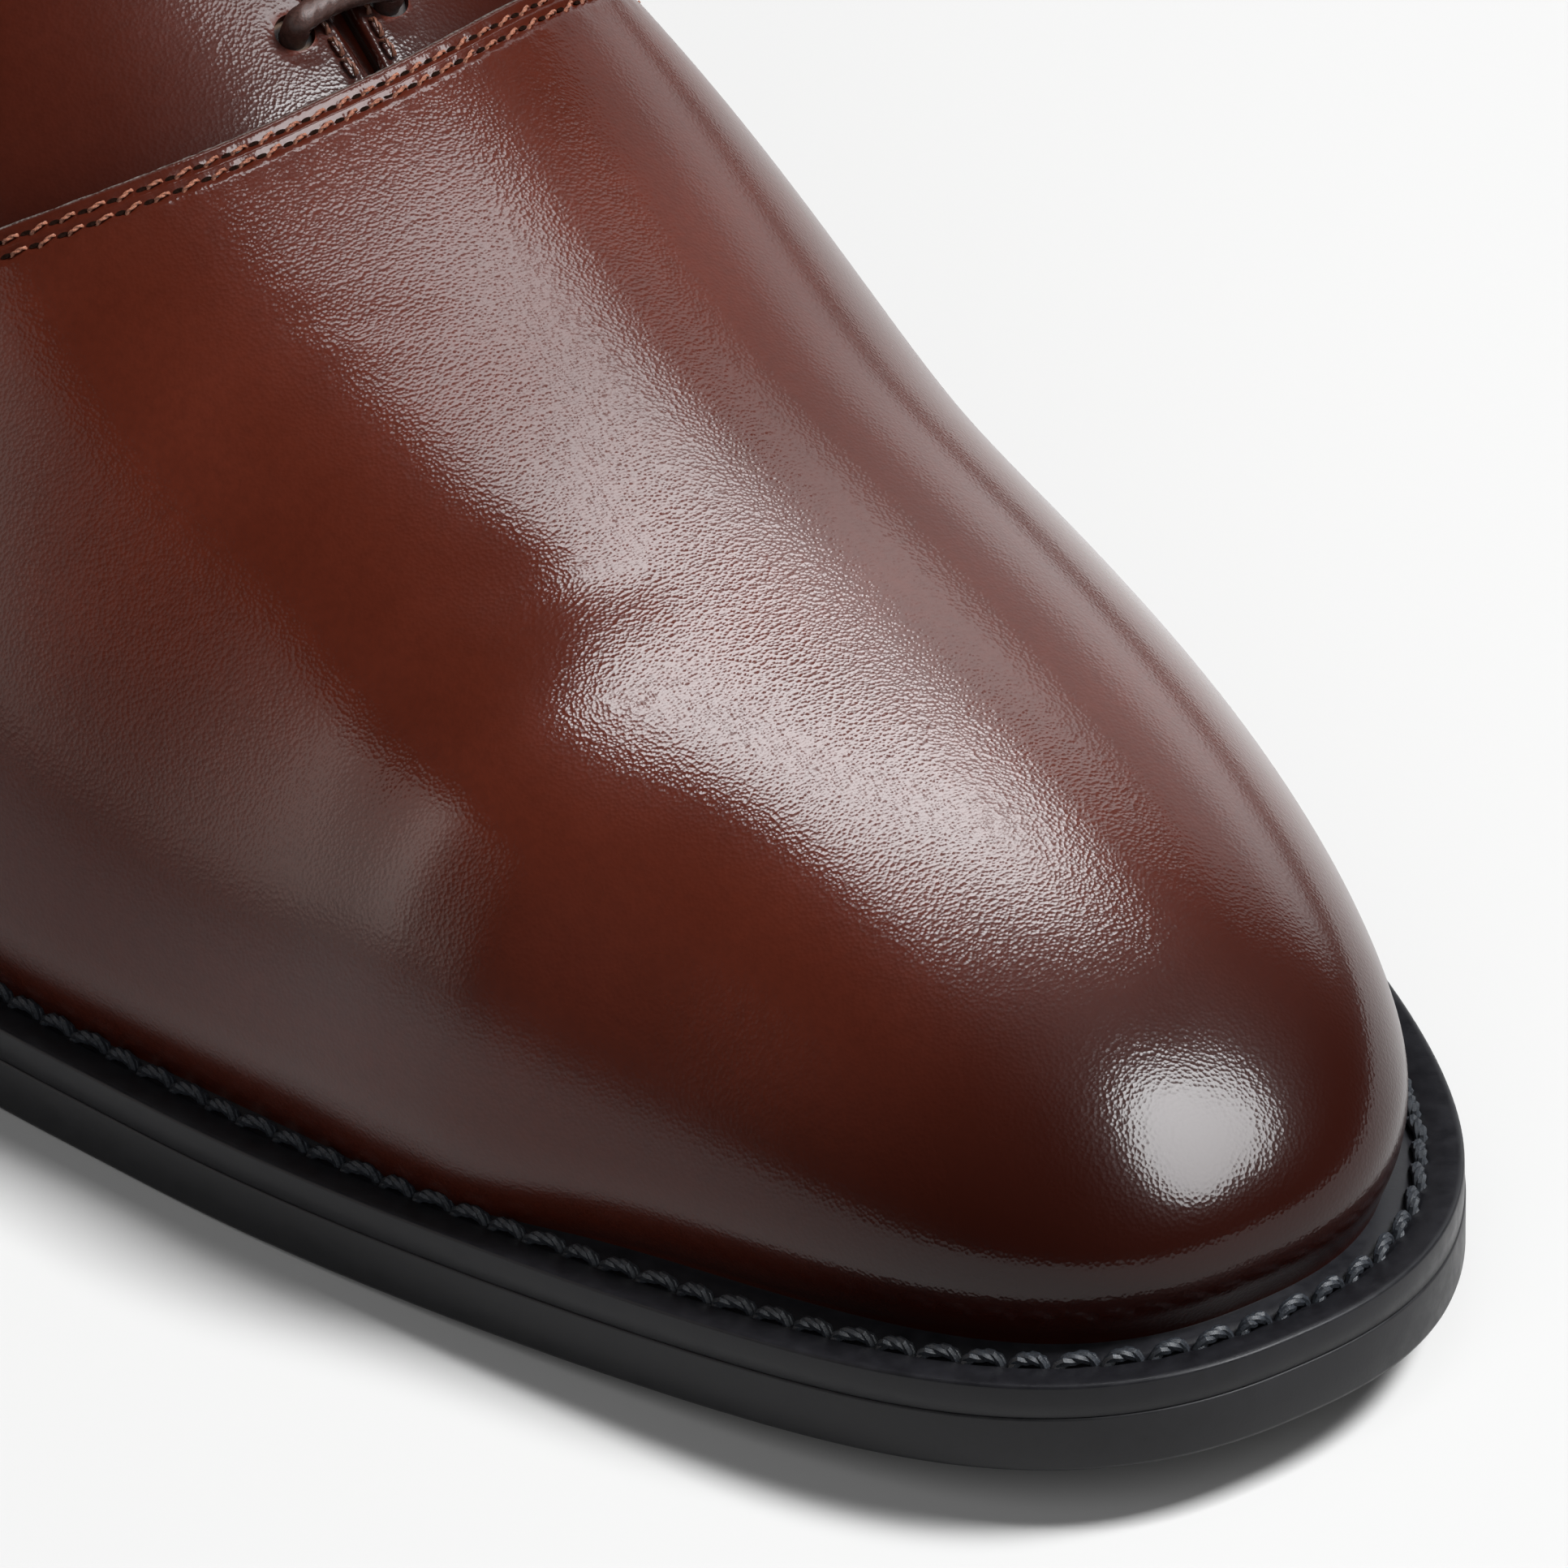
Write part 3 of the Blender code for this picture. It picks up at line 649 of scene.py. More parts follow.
def ramp(tree, fac, stops):
    """A colour ramp through (position, colour) stops."""
    node = add_node(tree, "ShaderNodeValToRGB", {"Fac": fac})
    band = node.color_ramp
    while len(band.elements) < len(stops):
        band.elements.new(0.5)
    for element, (position, colour) in zip(band.elements, stops):
        element.position = position
        element.color = (*colour, 1.0)
    return node.outputs["Color"]


def map_range(tree, value, given, wanted):
    """The value mapped from one range to another."""
    values = {"Value": value, "From Min": given[0], "From Max": given[1]}
    values.update({"To Min": wanted[0], "To Max": wanted[1]})
    return add_node(tree, "ShaderNodeMapRange", values).outputs["Result"]


def mix_colour(tree, fac, first, second):
    values = {0: fac, 6: first, 7: second}
    return add_node(tree, "ShaderNodeMix", values, data_type="RGBA").outputs[2]


def bump(tree, height, strength, depth_mm, normal=None):
    values = {"Height": height, "Strength": strength, "Distance": depth_mm * MM}
    if normal is not None:
        values["Normal"] = normal
    return add_node(tree, "ShaderNodeBump", values).outputs["Normal"]


def attribute(tree, name):
    return add_node(tree, "ShaderNodeAttribute", attribute_name=name).outputs["Fac"]


def polished_leather(name):
    """Chestnut calf: cloudy brown, darkened by burnish and painted shade, fine pebbled grain under a hard
    polish.
    """
    material, tree, shader = new_material(name, CALF_PLAIN, 0.3, LOW_SPECULAR)
    clouds = noise(tree, size_mm=26.0)
    speckle = noise(tree, size_mm=0.9, detail=2.0)
    fibre = noise(tree, size_mm=0.3, detail=4.0)
    tone = ramp(tree, clouds, CALF)
    tone = mix_colour(tree, map_range(tree, speckle, (0.35, 0.7), (0.0, 0.3)), tone, CALF_SPECKLE)
    # Darkening by attribute: real burnish along edges and seams, painted shade at the toe and low by the
    # welt
    tone = mix_colour(tree, attribute(tree, "burnish_and_shade"), tone, CALF_BURNISH_AND_SHADE)
    tone = mix_colour(tree, attribute(tree, "raw"), tone, ramp(tree, fibre, CUT_EDGE))
    cells = {"Vector": place_node(tree), "Scale": 1 / (PEBBLE_SIZE * MM)}
    pebble = add_node(tree, "ShaderNodeTexVoronoi", cells, feature="F1").outputs["Distance"]
    fine = bump(tree, pebble, strength=0.36, depth_mm=0.04)
    swell = noise(tree, size_mm=1.2, detail=2.0)
    grain = bump(tree, swell, strength=0.12, depth_mm=0.05, normal=fine)
    feed(tree, shader, {
        "Base Color": tone,
        "Normal": grain,
        "Coat Normal": grain,
        "Roughness": map_range(tree, clouds, (0.3, 0.7), (0.26, 0.36)),
        "Coat Weight": attribute(tree, "polish"),
        "Coat Roughness": map_range(tree, attribute(tree, "haze"), (0.0, 1.0), COAT_ROUGHNESS),
    })
    return material


def lining_leather(name, light, dark):
    """Matt natural leather of the lining and the insole, with painted shade where it has the hole
    attribute.
    """
    material, tree, shader = new_material(name, light, 0.6)
    clouds = noise(tree, size_mm=18.0, detail=5.0)
    pores = noise(tree, size_mm=0.5, detail=3.0)
    tone = ramp(tree, clouds, ((0.3, dark), (0.7, light)))
    feed(tree, shader, {
        "Base Color": mix_colour(tree, attribute(tree, "hole"), tone, LINING_PAINTED_SHADE),
        "Normal": bump(tree, pores, strength=0.35, depth_mm=0.08),
        "Roughness": map_range(tree, clouds, (0.3, 0.7), (0.5, 0.68)),
    })
    return material


def black_rubber(name, colour, shine):
    """Satin black rubber with faint scuffs and a fine moulded grain."""
    material, tree, shader = new_material(name, colour, shine, RUBBER_SPECULAR)
    scuff = noise(tree, size_mm=2.0, detail=6.0, roughness=0.65)
    grain = noise(tree, size_mm=0.25, detail=2.0)
    pale = tuple(c * SCUFF_PALE for c in colour)
    feed(tree, shader, {
        "Base Color": ramp(tree, scuff, ((0.35, colour), (0.75, pale))),
        "Roughness": map_range(tree, scuff, (0.3, 0.7), (shine - 0.06, shine + 0.1)),
        "Normal": bump(tree, grain, strength=0.22, depth_mm=0.03),
    })
    return material


def thread(name, dark, light, shine):
    """Twisted thread: fine fibres, with a painted highlight where they stand up."""
    material, tree, shader = new_material(name, light, shine)
    fibre = noise(tree, size_mm=0.16, detail=4.0, roughness=0.7)
    feed(tree, shader, {
        "Base Color": ramp(tree, fibre, ((0.32, dark), (0.68, light))),
        "Normal": bump(tree, fibre, strength=0.6, depth_mm=0.05),
    })
    return material


def shadow_black(name):
    """Painted shade inside the needle holes."""
    material, tree, shader = new_material(name, NEEDLE_HOLE_SHADE_PLAIN, 0.9, specular=0.0)
    fibre = noise(tree, size_mm=0.2, detail=2.0)
    feed(tree, shader, {"Base Color": ramp(tree, fibre, NEEDLE_HOLE_SHADE)})
    return material


# The upper's panels

def skirted(grid, all_round):
    """The grid with its lower borders drawn into the welt: the last column, or all but the last row."""
    lead = 1 if all_round else 0
    wide = np.pad(grid, ((lead, 0), (lead, 1), (0, 0)), mode="edge")
    wide[:, -1, 2] -= SKIRT
    if all_round:
        wide[0, :, 2] -= SKIRT
        wide[:, 0, 2] -= SKIRT
    return wide


def on_both_sheets(shades, pad):
    """Shades of a skirted grid for the points of its outer and its inner sheet."""
    return {key: np.tile(np.pad(value, pad, mode="edge").ravel(), 2) for key, value in shades.items()}


def edge_round(distance, radius):
    """How far a rounded edge falls away, by distance from the edge."""
    inside = np.clip(radius - distance, 0, radius)
    return np.sqrt(np.maximum(radius**2 - inside**2, 0.0)) - radius


def seam_line():
    """The vamp's edge as a dense line, and how far along each point lies."""
    across = np.linspace(-1, 1, SEAM_COUNT)
    point, _, _ = on_last(seam_station(across), across)
    return resample(point, LINE_STEP)


def seam_offset_line(distance):
    """A line on the vamp at a distance in front of its edge, with its normals."""
    across = np.linspace(-SEAM_ROW_END, SEAM_ROW_END, SEAM_COUNT)
    point, _, ahead = on_last(seam_station(across), across)
    tangent = unit(np.gradient(point, axis=0))
    sideways = ahead - (ahead * tangent).sum(-1, keepdims=True) * tangent
    forward = distance / np.linalg.norm(sideways, axis=-1)
    point, normal, _ = on_last(seam_station(across) + forward, across)
    return point, normal


def stitch_relief(distance, arc, row, pitch, depth):
    """The leather drawn down along a row of stitches, most at the needle holes."""
    phase = np.abs((arc / pitch + 0.5) % 1.0 - 0.5) * pitch
    pull = blend(BETWEEN_HOLES, 1.0, bump_at(phase, 0.0, HOLE_PULL))
    return -depth * bump_at(distance, row, STITCH_GROOVE) * pull


# A row for each crease of the vamp, or swell where its height is positive: the two ends of its line in
# plan, half its width and its height
CREASES = (
    (238.0, -30.0, 242.0, -30.0, 11.0, 2.1),
    (224.0, -26.0, 225.0, -19.0, 7.0, -0.5),
    (222.0, -20.0, 229.0, -9.0, 3.3, -0.13),
    (195.5, -17.0, 201.5, -8.5, 1.9, -0.03),
    (199.5, -19.0, 205.0, -11.0, 2.1, -0.03),
)


def crease_relief(points):
    """Soft swells and hollows where the shoe bends."""
    total = np.zeros(points.shape[:-1])
    for x1, y1, x2, y2, width, height in CREASES:
        line = np.array([x2 - x1, y2 - y1])
        offset = points[..., :2] - (x1, y1)
        along = np.clip((offset @ line) / (line @ line), 0, 1)
        away = np.linalg.norm(offset - along[..., None] * line, axis=-1)
        total += height * bump_at(away, 0.0, width)
    return total


def above_feather(points):
    return points[..., 2] - sole_bottom(points[..., 0]) - FEATHER


def growing(value, amount, start, end):
    """A smooth step from 0 at the start to the amount at the end."""
    t = np.clip((value - start) / (end - start), 0, 1)
    return amount * t * t * (3 - 2 * t)


def fading(distance, amount, reach):
    return amount * np.exp(-distance / reach)


def vamp_surface(columns, cap_rows, shares):
    """The vamp's grid on the last and its normals: rows from the toe's feather edge back to the seam."""
    across = np.linspace(-1, 1, columns)
    cap = round_toe(across[None, :], np.linspace(1, 0, cap_rows + 1)[:, None])
    base = TOE_BASE + (seam_station(across) - TOE_BASE) * shares[1:, None]
    grid = np.concatenate([cap, last_points(base, 0.0, np.sign(across), np.abs(across))])
    normal = grid_normals(grid)
    return grid, normal * np.sign(normal[cap_rows, columns // 2, 2])


def build_vamp(leather):
    """The vamp, with its cut edge, the pull of its stitches and its creases."""
    grid, normal = vamp_surface(VAMP_COLUMNS, CAP_ROWS, crowd_end(VAMP_ROWS + 1, VAMP_CROWDING))
    line, arc = seam_line()
    distance, nearest = distance_to(line, grid)
    relief = edge_round(distance, VAMP_EDGE) + crease_relief(grid)
    for row in SEAM_ROWS:
        relief += stitch_relief(distance, arc[nearest], row, SEAM_PITCH, SEAM_DEPTH)
    relief += ROW_RIDGE * bump_at(distance, np.mean(SEAM_ROWS), ROW_RIDGE_WIDTH)
    turn = 2 * math.pi * arc[nearest]
    ripple = np.cos(turn / SEAM_PITCH) + RIPPLE_SECOND * np.cos(turn / RIPPLE_PITCH + 1.0)
    relief += RIPPLE * ripple * bump_at(distance, RIPPLE_AT, RIPPLE_WIDTH)
    outer = grid + relief[..., None] * normal
    inner = grid - (VAMP_STEP - SHEET_GAP) * normal
    points, faces = shell(skirted(outer, True), skirted(inner, True))
    x = grid[..., 0]
    height = above_feather(grid)
    raw = growing(distance, *RAW_EDGE)
    # The toe's darkening is partly burnish and partly painted shade; the darkening low by the welt is
    # painted shade
    burnish_and_shade = growing(x, *TOE_BURNISH_AND_SHADE) + growing(height, *FOOT_SHADE)
    burnish_and_shade += fading(distance, *VAMP_SEAM_BURNISH)
    low = LOW_POLISH_BACK - growing(x, *LOW_POLISH_DROP)
    polish = BACK_POLISH + growing(x, *FRONT_POLISH)
    polish *= blend(low, 1.0, growing(height, *LOW_POLISH_END))
    shades = {
        "burnish_and_shade": np.clip(burnish_and_shade, 0, VAMP_BURNISH_AND_SHADE_MOST),
        "raw": raw,
        "polish": polish * (1 - raw),
        "haze": growing(height, *LOW_HAZE) * growing(x, *HAZE_END),
    }
    shades = on_both_sheets(shades, ((1, 0), (1, 1)))
    add_piece("vamp", points, faces, leather, "upper", ("upper",), sharp=50.0, attributes=shades)


def quarter_surface(side):
    """A quarter's grid on the last: rows from under the vamp to the heel, columns from the top down."""
    ahead = np.linspace(THROAT + UNDERLAP, HEEL_REACH, QUARTER_ROWS)
    part = np.concatenate([(ahead - HEEL_REACH) / (THROAT - HEEL_REACH), np.zeros(HEEL_ROWS)])
    turn = np.linspace(0, math.pi / 2, HEEL_ROWS + 1)[1:]
    reach = np.concatenate([np.zeros(QUARTER_ROWS), -HEEL_UPPER * np.sin(turn) ** (2 / HEEL_POWER)])
    aside = np.concatenate([np.ones(QUARTER_ROWS), np.maximum(np.cos(turn), 0) ** (2 / HEEL_POWER)])

    def points(sigma):
        shape = (slice(None),) + (None,) * (sigma.ndim - 1)
        base = HEEL_REACH + (seam_station(side * sigma) - HEEL_REACH) * part[shape]
        return last_points(base, reach[shape], side * aside[shape], sigma)

    low = np.zeros(len(part))
    high = np.ones(len(part))
    for _ in range(BISECTIONS):
        middle = (low + high) / 2
        p = points(middle)
        off_ridge = np.sin(middle * math.pi / 2) * upper_width(p[:, 0])
        inside = (p[:, 2] <= top_line(p[:, 0])) & (off_ridge >= slit(p[:, 0]) / 2)
        high = np.where(inside, middle, high)
        low = np.where(inside, low, middle)
    return points(high[:, None] + (1 - high[:, None]) * crowd_start(QUARTER_COLUMNS, QUARTER_CROWDING))


def outward(grid, side):
    """Normals of a quarter's grid, facing away from the foot."""
    normal = grid_normals(grid)
    middle = normal[QUARTER_ROWS // 2, QUARTER_COLUMNS // 2]
    return normal * np.sign(middle[1] * side)


def down_from_top(grid, distance):
    """A line across the quarter's rows at a distance below their top ends."""
    arc = np.linalg.norm(np.diff(grid, axis=1), axis=-1).cumsum(axis=1)
    arc = np.concatenate([np.zeros((len(grid), 1)), arc], axis=1)
    return np.array([
        [np.interp(distance, a, row[:, k]) for k in range(3)] for a, row in zip(arc, grid)
    ])


def eyelets(side):
    """Place on the quarter's surface and normal of each lace hole of one side."""
    x = np.linspace(FIRST_EYELET, LAST_EYELET, EYELETS)
    sigma = sigma_off_ridge(x, slit(x) / 2 + EYELET_FROM_SLIT)
    point, normal, _ = on_last(x, side * sigma)
    return point - VAMP_STEP * normal, normal


def punch(piece, side):
    """Cuts the lace holes through a quarter."""
    cutter_mesh = bpy.data.meshes.new("punch")
    shape = bmesh.new()
    for centre, normal in zip(*eyelets(side)):
        turn = Vector((0, 0, 1)).rotation_difference(Vector(normal)).to_matrix().to_4x4()
        bmesh.ops.create_cone(
            shape, cap_ends=True, segments=32, radius1=EYELET_HOLE / 2 * MM, radius2=EYELET_HOLE / 2 * MM,
            depth=4 * WALL * MM, matrix=Matrix.Translation(placed(centre)) @ turn,
        )
    shape.to_mesh(cutter_mesh)
    shape.free()
    cutter = put_in_scene("punch", cutter_mesh)
    cut = piece.modifiers.new("punch", "BOOLEAN")
    cut.operation = "DIFFERENCE"
    cut.solver = "EXACT"
    cut.object = cutter
    bpy.context.view_layer.update()
    graph = bpy.context.evaluated_depsgraph_get()
    mesh = bpy.data.meshes.new_from_object(piece.evaluated_get(graph))
    piece.modifiers.remove(cut)
    piece.data = mesh
    bpy.data.objects.remove(cutter, do_unlink=True)


def build_quarter(side, name, grid, leather):
    """A quarter, with its cut edges, the pull of its stitches, its dip at the seam and its lace holes."""
    normal = outward(grid, side)
    top, arc = resample(grid[:, 0], LINE_STEP)
    distance, nearest = distance_to(top, grid)
    from_back, _ = distance_to(resample(grid[-1], 2 * LINE_STEP)[0], grid)
    seam, _ = distance_to(seam_line()[0], grid)
    relief = edge_round(distance, QUARTER_EDGE) + BACK_SEAM * edge_round(from_back, BACK_SEAM_EDGE)
    relief += stitch_relief(distance, arc[nearest], EDGE_ROW, EDGE_PITCH, EDGE_DEPTH)
    relief -= fading(seam, *SEAM_DIP)
    for centre, up in zip(*eyelets(side)):
        away = np.linalg.norm(grid - centre - VAMP_STEP * up, axis=-1)
        relief -= EYELET_DIP * bump_at(away, EYELET_HOLE / 2, EYELET_DIP_WIDTH)
    outer = grid + (relief - VAMP_STEP)[..., None] * normal
    inner = grid - (WALL - LINING - SHEET_GAP) * normal
    points, faces = shell(skirted(outer, False), skirted(inner, False))
    # The darkening low by the welt is painted shade; along the top line, seam and facing it is burnish
    burnish_and_shade = growing(above_feather(grid), *FOOT_SHADE) + fading(distance, *TOP_BURNISH)
    burnish_and_shade += fading(seam, *QUARTER_SEAM_BURNISH) + growing(grid[..., 0], *FACING_BURNISH)
    shades = {
        "burnish_and_shade": np.clip(burnish_and_shade, 0, QUARTER_BURNISH_AND_SHADE_MOST),
        "polish": QUARTER_POLISH + fading(seam, *QUARTER_SEAM_POLISH),
    }
    shades = on_both_sheets(shades, ((0, 0), (0, 1)))
    piece = add_piece(name, points, faces, leather, "upper", ("upper",), sharp=50.0, attributes=shades)
    punch(piece, side)


def build_lining(quarters, material):
    """The leather inside the shoe: a little lower than the quarters at the top line, with painted shade
    where it shows in the lace holes and along the slit."""
    parts = []
    painted_shade = []
    some = (slice(None, None, 2), slice(None, None, 2))
    for side, grid in quarters.items():
        normal = outward(grid, side)
        distance, _ = distance_to(resample(grid[:, 0], 2 * LINE_STEP)[0], grid)
        facing = grid - (WALL - LINING) * normal
        inside = grid - WALL * normal
        tip = LINING_DROP * bump_at(distance, 0.0, LINING_DROP)[..., None] * (0.0, 0.0, 1.0)
        parts.append(shell((facing - tip)[some], (inside - tip)[some]))
        away = np.full(grid.shape[:2], LENGTH)
        for centre, up in zip(*eyelets(side)):
            below = centre - (WALL - LINING - VAMP_STEP) * up
            away = np.minimum(away, np.linalg.norm(facing - below, axis=-1))
        along_slit = growing(distance, *SLIT_SHADE_EDGE) * growing(grid[..., 0], *SLIT_SHADE_FACING)
        painted_shade.append(np.tile(np.maximum(growing(away, *LACE_HOLE_SHADE), along_slit)[some].ravel(), 2))
    front, normal = vamp_surface(LINING_COLUMNS, LINING_CAP_ROWS, np.linspace(0, 1, LINING_ROWS + 1))
    parts.append(shell(front - (WALL - LINING) * normal, front - WALL * normal))
    painted_shade.append(np.zeros(len(parts[-1][0])))
    shades = {"hole": np.concatenate(painted_shade)}
    add_piece("lining", *joined(parts), material, "insole", ("upper",), attributes=shades)


def build_tongue(material):
    """The tongue: a soft sheet with rounded borders, under the slit."""
    share = np.linspace(0, 1, TONGUE_ROWS) ** TONGUE_CROWDING
    x = blend(TONGUE_BACK, TONGUE_FRONT, share)
    corner = np.clip(TONGUE_CORNER - (x - TONGUE_BACK), 0, None)
    rounding = TONGUE_CORNER - np.sqrt(TONGUE_CORNER**2 - corner**2)
    half = blend(TONGUE_HALF_BACK, TONGUE_HALF_FRONT, share) - rounding
    across = np.linspace(-1, 1, TONGUE_COLUMNS)
    sigma = sigma_off_ridge(x[:, None], np.abs(across) * half[:, None])
    grid, normal, _ = on_last(np.repeat(x[:, None], TONGUE_COLUMNS, axis=1), sigma * np.sign(across))
    border = np.concatenate([grid[:, 0], grid[-1], grid[::-1, -1], grid[0, ::-1]])
    distance, _ = distance_to(resample(border, 2 * LINE_STEP)[0], grid)
    round_off = edge_round(distance, TONGUE_EDGE)
    level = -(WALL + TONGUE_CLEARANCE + TONGUE_DROP * (1 - share[:, None]) ** 2)
    outer = grid + (level + round_off)[..., None] * normal
    inner = grid + (level - TONGUE - round_off)[..., None] * normal
    points, faces = shell(outer, inner)
    count = len(points)
    shades = {"burnish_and_shade": np.full(count, TONGUE_BURNISH), "polish": np.full(count, TONGUE_POLISH)}
    add_piece("tongue_leather", points, faces, material, "upper", ("tongue",), attributes=shades)


# Thread and lace

def stitches(path, normals, pitch, length, radius, slant, plies=2):
    """A row of stitches along a path, each a twisted thread that dips in at both ends, and their starts."""
    both, _ = resample(np.concatenate([path, normals], axis=1), STITCH_STEP)
    arc = arc_lengths(both[:, :3])
    middle = np.arange(pitch / 2, arc[-1], pitch)
    uneven = np.sin(UNEVEN_STEP * np.arange(len(middle)))[:, None, None]
    pick = np.searchsorted(arc, middle).clip(1, len(both) - 2)
    centre = both[pick, :3]
    normal = unit(both[pick, 3:])
    tangent = unit(both[pick + 1, :3] - both[pick - 1, :3])
    aside = unit(np.cross(normal, tangent))
    t = np.linspace(-1, 1, STITCH_COUNT)
    height = radius * (STITCH_ARCH - STITCH_DIP * t**4)
    axis = (
        centre[:, None] + t[:, None] * length / 2 * (1 + UNEVEN_LENGTH * uneven) * tangent[:, None]
        + height[:, None] * normal[:, None]
        + slant * (1 + UNEVEN_SLANT * uneven[::-1]) * t[:, None] * aside[:, None]
    )
    parts = []
    for ply in range(plies):
        turn = 2 * math.pi * (ply / plies + PLY_TWIST * t)
        swing = PLY_SWING * radius * np.cos(turn)
        lift = PLY_SWING * radius * np.sin(turn)
        strand = axis + swing[:, None] * aside[:, None] + lift[:, None] * normal[:, None]
        parts.append(tubes(strand, aside[:, None], PLY_RADIUS * radius, PLY_SIDES))
    return joined(parts), centre - length / 2 * tangent, normal, tangent


def needle_holes(centre, normal, tangent):
    """Painted shade where the thread goes in: each a thin dark oval plug."""
    aside = unit(np.cross(normal, tangent))
    turn = np.linspace(0, 2 * math.pi, NEEDLE_SIDES, endpoint=False)
    ring = (
        centre[:, None] + (NEEDLE_LENGTH * np.cos(turn))[:, None] * tangent[:, None]
        + (NEEDLE_WIDTH * np.sin(turn))[:, None] * aside[:, None]
    )
    low = ring - NEEDLE_DEPTH * normal[:, None]
    high = ring + NEEDLE_LIFT * normal[:, None]
    points = np.concatenate([low, high], axis=1).reshape(-1, 3)
    return points, tube_faces(np.arange(len(points)).reshape(len(centre), 2, NEEDLE_SIDES))


def build_seam_stitches(material, hole_material):
    """The two rows along the vamp's edge."""
    rows = []
    holes = []
    for row in SEAM_ROWS:
        path, normal = seam_offset_line(row)
        made, start, up, tangent = stitches(path - SEAM_SUNK * normal, normal, *SEAM_STITCH)
        rows.append(made)
        holes.append(needle_holes(start - NEEDLE_BEHIND * tangent, up, tangent))
    add_piece("seam_stitches", *joined(rows), material)
    add_piece("seam_needle_holes", *joined(holes), hole_material)


def build_edge_stitches(quarters, material):
    """One row along the slit and the top line of each quarter."""
    rows = []
    for side, grid in quarters.items():
        shown = grid[:, 0, 0] < THROAT - EDGE_ROW_FROM_THROAT
        up = outward(grid, side)[shown, EDGE_NORMAL_COLUMN]
        path = down_from_top(grid[shown], EDGE_ROW) - (VAMP_STEP + EDGE_SUNK) * up
        rows.append(stitches(path, up, *EDGE_STITCH)[0])
    add_piece("edge_stitches", *joined(rows), material)


def build_welt_stitches(material):
    """The row that holds the welt to the sole, from the heel breast round the toe."""
    xs = stations(3 * OUTLINE_COUNT, WELT_ROW, LENGTH - WELT_ROW)
    ring = outline_ring(xs, WELT_ROW, WELT_ROW)
    ring = ring[ring[:, 0] > HEEL_BREAST - WELT_ROW_PAST_BREAST]
    path = np.column_stack([ring, sole_bottom(ring[:, 0]) + WELT_TOP - WELT_SUNK])
    up = np.tile((0.0, 0.0, 1.0), (len(path), 1))
    made, _, _, _ = stitches(path, up, *WELT_STITCH, plies=3)
    add_piece("welt_stitches", *made, material)


def build_lace(material):
    """Bars of the waxed lace, each up through one eyelet, over the slit and down the other."""
    outer, outer_up = eyelets(-1)
    inner, inner_up = eyelets(1)
    over = LACE / 2 + GAP
    x = (outer[:, 0] + inner[:, 0]) / 2
    crest, crest_up, _ = on_last(x, np.full(EYELETS, SMALL_STEP))
    crest = crest + (over - VAMP_STEP) * crest_up
    start = outer + over * outer_up
    end = inner + over * inner_up
    control = 2 * crest - (start + end) / 2
    depth = WALL - VAMP_STEP - GAP
    t = np.linspace(0, 1, LACE_ARCH_COUNT)[:, None, None]
    arch = (1 - t) ** 2 * start + 2 * t * (1 - t) * control + t**2 * end
    share = np.linspace(0, 1, LACE_COUNT)
    bars = []
    for k in range(EYELETS):
        low_outer = outer[k] - depth * outer_up[k]
        low_inner = inner[k] - depth * inner_up[k]
        path = np.concatenate([[low_outer, outer[k]], arch[:, k], [inner[k], low_inner]])
        path, _ = resample(path, 2 * LINE_STEP)
        for _ in range(LACE_SMOOTHING):
            path[1:-1] = (path[:-2] + path[1:-1] + path[2:]) / 3
        along = np.linspace(0, 1, len(path))
        bars.append(np.stack([np.interp(share, along, path[:, c]) for c in range(3)], axis=1))
    aside = unit(np.cross(end - start, outer_up + inner_up))
    turn = np.linspace(0, 2 * math.pi, LACE_SIDES, endpoint=False)
    plait = np.abs(np.sin(2 * turn + LACE_PLAIT_TURNS * share[:, None]))
    radius = LACE / 2 * blend(1 - LACE_PLAIT, 1.0, plait)
    points, faces = tubes(np.array(bars), aside[:, None], radius[None], LACE_SIDES)
    names = [f"lace_bar_{k + 1}" for k in range(EYELETS)]
    add_piece("lace", points, faces, material, "lace", names)


# The sole

# A row for each turn of a profile: inset from the outline and height over what it stands on, the
# underside of the sole or the feather edge
WELT_BASE = OUTSOLE + GAP
OUTSOLE_PROFILE = (
    (1.0, 0.0), (0.35, 0.04), (0.1, 0.2), (0.0, 0.5), (0.0, 2.5), (0.0, 4.85),
    (0.03, 5.0), (0.12, 5.08), (3.0, 5.08),
)
WELT_PROFILE = (
    (WELT_WIDTH, WELT_BASE), (3.0, WELT_BASE), (0.4, WELT_BASE - 0.19), (0.16, WELT_BASE - 0.19),
    (0.1, WELT_BASE - 0.12), (0.1, WELT_BASE + 1.2), (0.12, WELT_BASE + 2.5), (0.18, WELT_BASE + 2.68),
    (0.36, WELT_TOP - 0.02), (0.7, WELT_TOP), (2.7, WELT_TOP), (3.1, WELT_TOP - 0.3),
    (WELT_ROW, WELT_TOP - 0.5), (4.3, WELT_TOP - 0.3), (4.7, WELT_TOP), (WELT_WIDTH, WELT_TOP),
)
INSOLE_PROFILE = ((1.0, 0.0), (0.0, 0.4), (0.0, INSOLE - 0.8), (0.3, INSOLE - 0.2), (1.2, INSOLE))

# The groove at each joint of the heel: share of the height away from the joint, and depth
HEEL_GROOVE = ((0.0, 0.35), (0.012, 0.1), (0.03, 0.0))
HEEL_LAYERS = 3


def ring_index(rings):
    """Numbers of the points of closed rings, with each ring's first one again at its end."""
    index = np.arange(len(rings) * len(rings[0])).reshape(len(rings), -1)
    return np.concatenate([index, index[:, :1]], axis=1)


